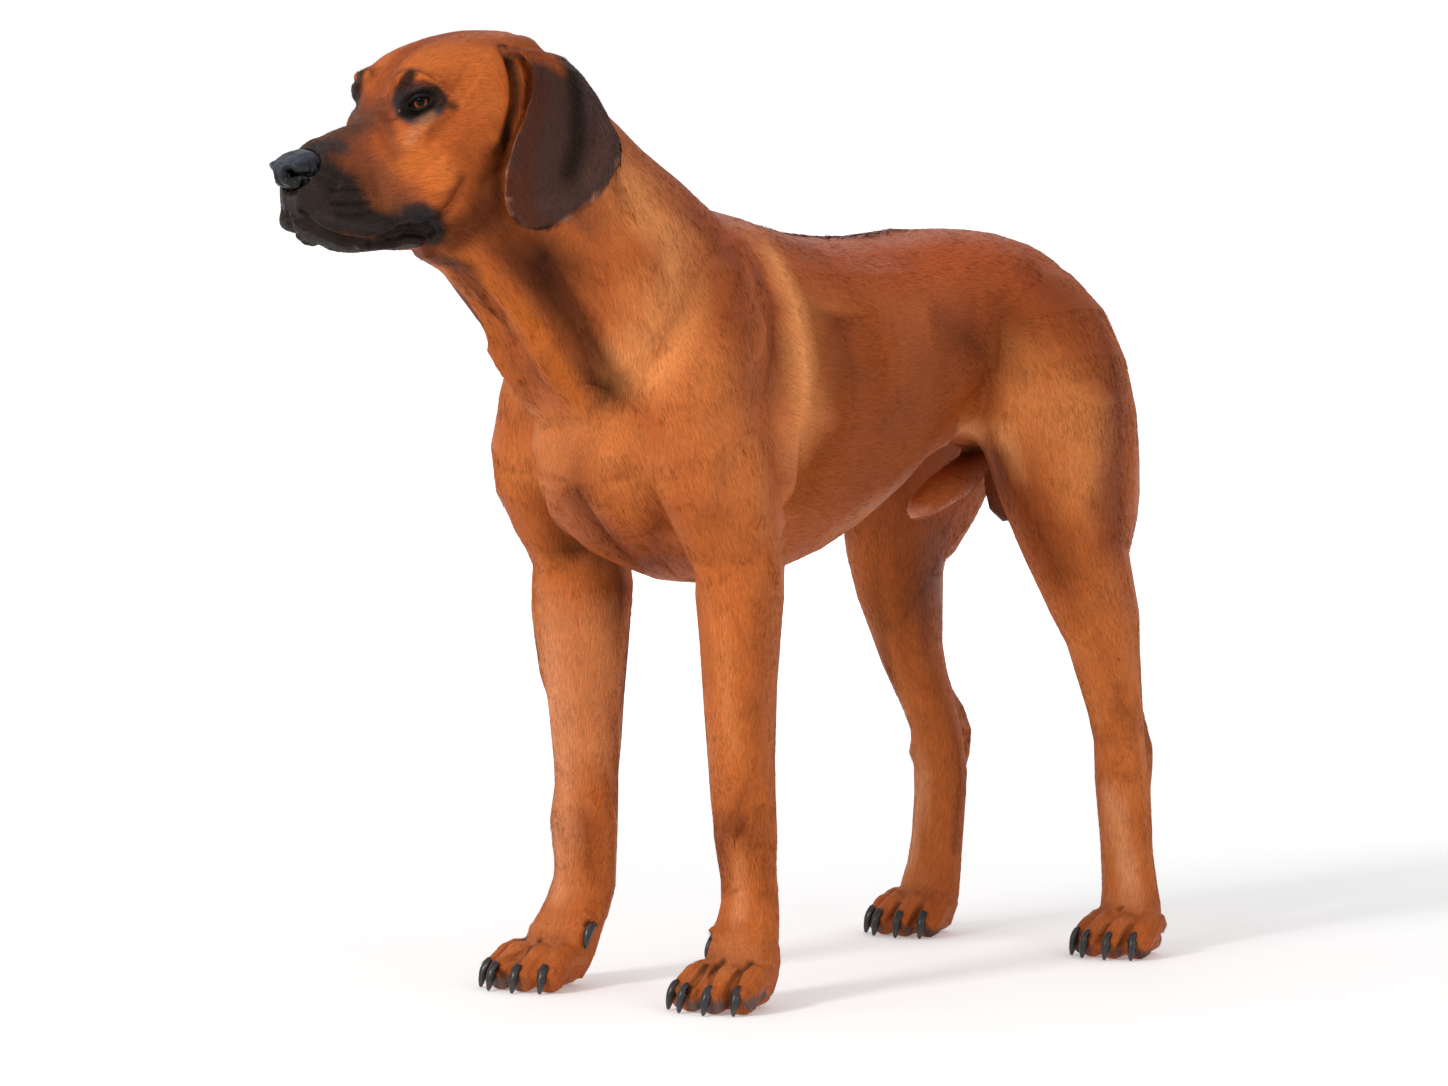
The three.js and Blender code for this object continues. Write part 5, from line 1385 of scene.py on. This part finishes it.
# skin and tufts share the tone of the coat, so that neither shows through the other
coatLook = {
    "gloss": (1.0, 0.66, 0.42, 1.0),
    "mottle": (26.0, 0.93, 1.07),
    "streakScale": 900.0,
    "streakStep": 0.0011,
    "streakTone": (0.73, 0.50),  # tone without a streak, and what a full streak adds
    "roughness": (0.42, 0.16),
    "bareShine": 0.12,  # lips, lids and pads carry no hair, and shine
}


def skinMaterial(streaks, mottle):
    material, tree, shader = newMaterial("short_coat", coatColour, Roughness=0.5, Specular_IOR_Level=0.18,
                                         Specular_Tint=coatLook["gloss"])
    sockets = {"Place": objectPlace(tree), "Lie": attribute(tree, "lie", "Vector"),
               "Scale": coatLook["streakScale"], "Step": coatLook["streakStep"]}
    fine = node(tree, "ShaderNodeGroup", sockets, node_tree=streaks).outputs[0]
    bare = attribute(tree, "bare", "Fac")
    hair = calc(tree, "MULTIPLY", fine, calc(tree, "SUBTRACT", 1.0, bare))
    low, more = coatLook["streakTone"]
    streakTone = calc(tree, "ADD", calc(tree, "MULTIPLY", hair, more), low)
    tone = mottled(tree, mottle, *coatLook["mottle"])
    baseColour(tree, shader, attribute(tree, "markings_shade_and_highlights", "Color"), tone, streakTone)
    low, more = coatLook["roughness"]
    rough = calc(tree, "ADD", calc(tree, "MULTIPLY", hair, more), low)
    rough = calc(tree, "SUBTRACT", rough, calc(tree, "MULTIPLY", bare, coatLook["bareShine"]))
    tree.links.new(rough, shader.inputs["Roughness"])
    bumpInto(tree, shader, hair, 0.5, 0.0006)
    return material


def tuftMaterial(mottle):
    material, tree, shader = newMaterial("coat_tufts", coatColour, Roughness=0.5, Specular_IOR_Level=0.10,
                                         Specular_Tint=coatLook["gloss"])
    tone = mottled(tree, mottle, *coatLook["mottle"])
    baseColour(tree, shader, attribute(tree, "markings_shade_and_highlights", "Color"), tone)
    return material


def noseMaterial(mottle):
    material, tree, shader = newMaterial("nose_leather", (34, 37, 44), Roughness=0.36,
                                         Specular_IOR_Level=0.26, Coat_Weight=0.06, Coat_Roughness=0.2)
    cells = node(tree, "ShaderNodeTexVoronoi", {"Vector": objectPlace(tree), "Scale": 850.0}, feature="F1")
    pebble = calc(tree, "SUBTRACT", 1.0, cells.outputs["Distance"])
    baseColour(tree, shader, attribute(tree, "markings_shade_and_highlights", "Color"), mottled(tree, mottle, 120.0, 0.8, 1.2))
    bumpInto(tree, shader, pebble, 0.4, 0.0006)
    return material


# claws are paler towards the floor
def clawMaterial(mottle):
    material, tree, shader = newMaterial("horn", (34, 32, 31), Roughness=0.32, Specular_IOR_Level=0.5)
    height = node(tree, "ShaderNodeSeparateXYZ", {0: objectPlace(tree)}).outputs["Z"]
    palerNearFloor = mapRange(tree, height, 0.001, 0.012, 2.4, 1.0)
    tone = mottled(tree, mottle, 300.0, 0.7, 1.4)
    baseColour(tree, shader, plain(tree, linear((38, 36, 36))), tone, palerNearFloor)
    bumpInto(tree, shader, tone, 0.25, 0.0003)
    return material


def lidMaterial(mottle):
    material, tree, shader = newMaterial("lid_rim", (14, 11, 12), Roughness=0.46, Specular_IOR_Level=0.12)
    tone = mottled(tree, mottle, 400.0, 0.7, 1.4)
    baseColour(tree, shader, plain(tree, linear((14, 11, 12))), tone)
    bumpInto(tree, shader, tone, 0.2, 0.0003)
    return material


# from the middle of the pupil out to the white, as shares of 12 mm
pupilEdge, irisEdge = eyeSetup["pupil"] / 12, eyeSetup["iris"] / 12
eyeRings = [
    (0.0, (5, 4, 4)), (pupilEdge - 0.01, (6, 5, 5)), (pupilEdge + 0.03, (52, 24, 10)), (0.36, (96, 50, 20)),
    (0.46, (74, 36, 15)), (irisEdge - 0.04, (34, 16, 9)), (irisEdge + 0.01, (10, 7, 7)), (0.72, (26, 17, 15)),
    (0.85, (40, 26, 23)),
]


def eyeMaterial():
    material, tree, shader = newMaterial("eye", (90, 50, 24), Roughness=0.3, Specular_IOR_Level=0.0,
                                         Coat_Weight=1.0, Coat_Roughness=0.02, Coat_IOR=1.17)
    local = node(tree, "ShaderNodeSeparateXYZ", {0: attribute(tree, "eyeAxes", "Vector")})
    across, up = local.outputs["X"], local.outputs["Y"]
    squares = [calc(tree, "MULTIPLY", axis, axis) for axis in (across, up)]
    radius = calc(tree, "SQRT", calc(tree, "ADD", *squares))
    spot = node(tree, "ShaderNodeCombineXYZ", {
        "X": calc(tree, "MULTIPLY", calc(tree, "ARCTAN2", up, across), 9.0),
        "Y": calc(tree, "MULTIPLY", radius, 0.5)})
    fibre = noise(tree, spot.outputs[0], 1.0, 2.0, dimensions="2D")
    ragged = calc(tree, "MULTIPLY", calc(tree, "SUBTRACT", fibre, 0.5), 0.5)
    share = calc(tree, "DIVIDE", calc(tree, "ADD", radius, ragged), 12.0)
    ramp = node(tree, "ShaderNodeValToRGB", {"Fac": share})
    while len(ramp.color_ramp.elements) < len(eyeRings):
        ramp.color_ramp.elements.new(0.5)
    for element, (position, colour) in zip(ramp.color_ramp.elements, eyeRings):
        element.position = position
        element.color = (*linear(colour), 1)
    # the upper lid throws its shade on the top of the iris
    shade = mapRange(tree, up, -2.0, 2.6, 1.9, 0.12, "SMOOTHSTEP")
    baseColour(tree, shader, ramp.outputs["Color"], mapRange(tree, fibre, toLow=0.7, toHigh=1.35), shade)
    return material


# the floor glows more with distance, so that it runs into the white behind it
def floorMaterial():
    material, tree, shader = newMaterial("pale_floor", (240, 240, 240), Roughness=0.85,
                                         Specular_IOR_Level=0.0, Emission_Strength=1.0)
    place = objectPlace(tree)
    shade = mapRange(tree, noise(tree, place, 3.0, 2.0), toLow=0.985)
    baseColour(tree, shader, plain(tree, (0.9, 0.9, 0.9)), shade)
    away = node(tree, "ShaderNodeVectorMath", {0: place}, operation="LENGTH").outputs["Value"]
    glow = mapRange(tree, away, 0.7, 4.5, 0.23, 0.75, "SMOOTHSTEP")
    tree.links.new(tinted(tree, plain(tree, (1, 1, 1)), glow), shader.inputs["Emission Color"])
    return material


# floor, light and camera; places in metres
stageSetup = {
    "floor": 60,
    "world": 0.62,  # what lights the dog is softer than the white that is seen behind it
    "backdrop": 1.0,
    "camera": (4.5962, -5.1173, 0.877),
    "lens": 193.9,
    "azimuth": 42.0,
    "pitch": 4.027,
}
lamps = [
    {"name": "key", "place": (0.2, -5.4, 3.4), "target": (0, 0, 0.5), "size": 1.4, "power": 178},
    {"name": "side", "place": (5.2, -0.8, 2.2), "target": (0, 0, 0.5), "size": 2.0, "power": 26},
    {"name": "catchlight", "place": (1.6, -4.6, 2.9), "target": (0, -0.4, 0.8), "size": 0.22, "power": 9},
    {"name": "rim", "place": (-2.5, 3.5, 3.0), "target": (0, 0, 0.6), "size": 2.0, "power": 16},
]


def makeFloor():
    pick()
    bpy.ops.mesh.primitive_plane_add(size=stageSetup["floor"], location=(0, 0, 0))
    floor = bpy.context.view_layer.objects.active
    floor.name = floor.data.name = "floor"
    return floor


def addLamp(name, place, target, size, power):
    data = bpy.data.lights.new(name, "AREA")
    data.shape = "DISK"
    data.size = size
    data.energy = power
    lamp = bpy.data.objects.new(name, data)
    bpy.context.scene.collection.objects.link(lamp)
    lamp.location = place
    lamp.rotation_euler = (Vector(target) - Vector(place)).to_track_quat("-Z", "Y").to_euler()


def makeCamera():
    data = bpy.data.cameras.new("camera")
    data.lens = stageSetup["lens"]
    data.sensor_width = 36.0
    data.clip_end = 100
    camera = bpy.data.objects.new("camera", data)
    bpy.context.scene.collection.objects.link(camera)
    camera.location = stageSetup["camera"]
    camera.rotation_euler = (math.radians(90 - stageSetup["pitch"]), 0, math.radians(stageSetup["azimuth"]))
    bpy.context.scene.camera = camera


def makeWorld():
    world = bpy.data.worlds.new("studio")
    world.use_nodes = True
    tree = world.node_tree
    seen = node(tree, "ShaderNodeLightPath").outputs["Is Camera Ray"]
    strength = mapRange(tree, seen, toLow=stageSetup["world"], toHigh=stageSetup["backdrop"])
    tree.nodes["Background"].inputs["Color"].default_value = (1, 1, 1, 1)
    tree.links.new(strength, tree.nodes["Background"].inputs["Strength"])
    bpy.context.scene.world = world
    bpy.context.scene.view_settings.view_transform = "Standard"


# making; every piece rides on the one body
skin = makeSkin()
softenSkin(skin)
wrapLids(skin)
sculpt(skin, headStrokes + bodyStrokes)
report("skin sculpted")
moveCorners(skin, cornersOf(skin) - normalsOf(skin) * skinSetup["coatDepth"])
thinOut(skin)
facesOutward(skin)
unwrapSkin(skin)
colours = markSkin(skin)
lie = combSkin(skin)
coat = growCoat(skin, colours, lie)
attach(skin, "root")
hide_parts(*fleshNodes)
for tufts in coat:
    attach(tufts, "root")
    coatSlots.get(tufts.name, "coat")

eyes = [makeEye(1, "eyeball_left"), makeEye(-1, "eyeball_right")]
for eye, name in zip(eyes, ("eye_left", "eye_right")):
    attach(eye, "root")
    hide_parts(name)
rims = [makeLidRim(1, "lid_rim_left"), makeLidRim(-1, "lid_rim_right")]
for rim in rims:
    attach(rim, "root")
nose = makeNose()
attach(nose, "root")
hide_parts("nose")
claws = makeClaws()
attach(claws, "root")
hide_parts(*clawNodes)

streaks, mottle = hairStreakGroup(), mottleGroup()
floor = makeFloor()
finishes = [
    (skinMaterial(streaks, mottle), [skin]),
    (tuftMaterial(mottle), coat),
    (noseMaterial(mottle), [nose]),
    (clawMaterial(mottle), [claws]),
    (eyeMaterial(), eyes),
    (lidMaterial(mottle), rims),
    (floorMaterial(), [floor]),
]
for material, pieces in finishes:
    for piece in pieces:
        piece.data.materials.append(material)
makeWorld()
for lamp in lamps:
    addLamp(**lamp)
makeCamera()
report("materials and stage")
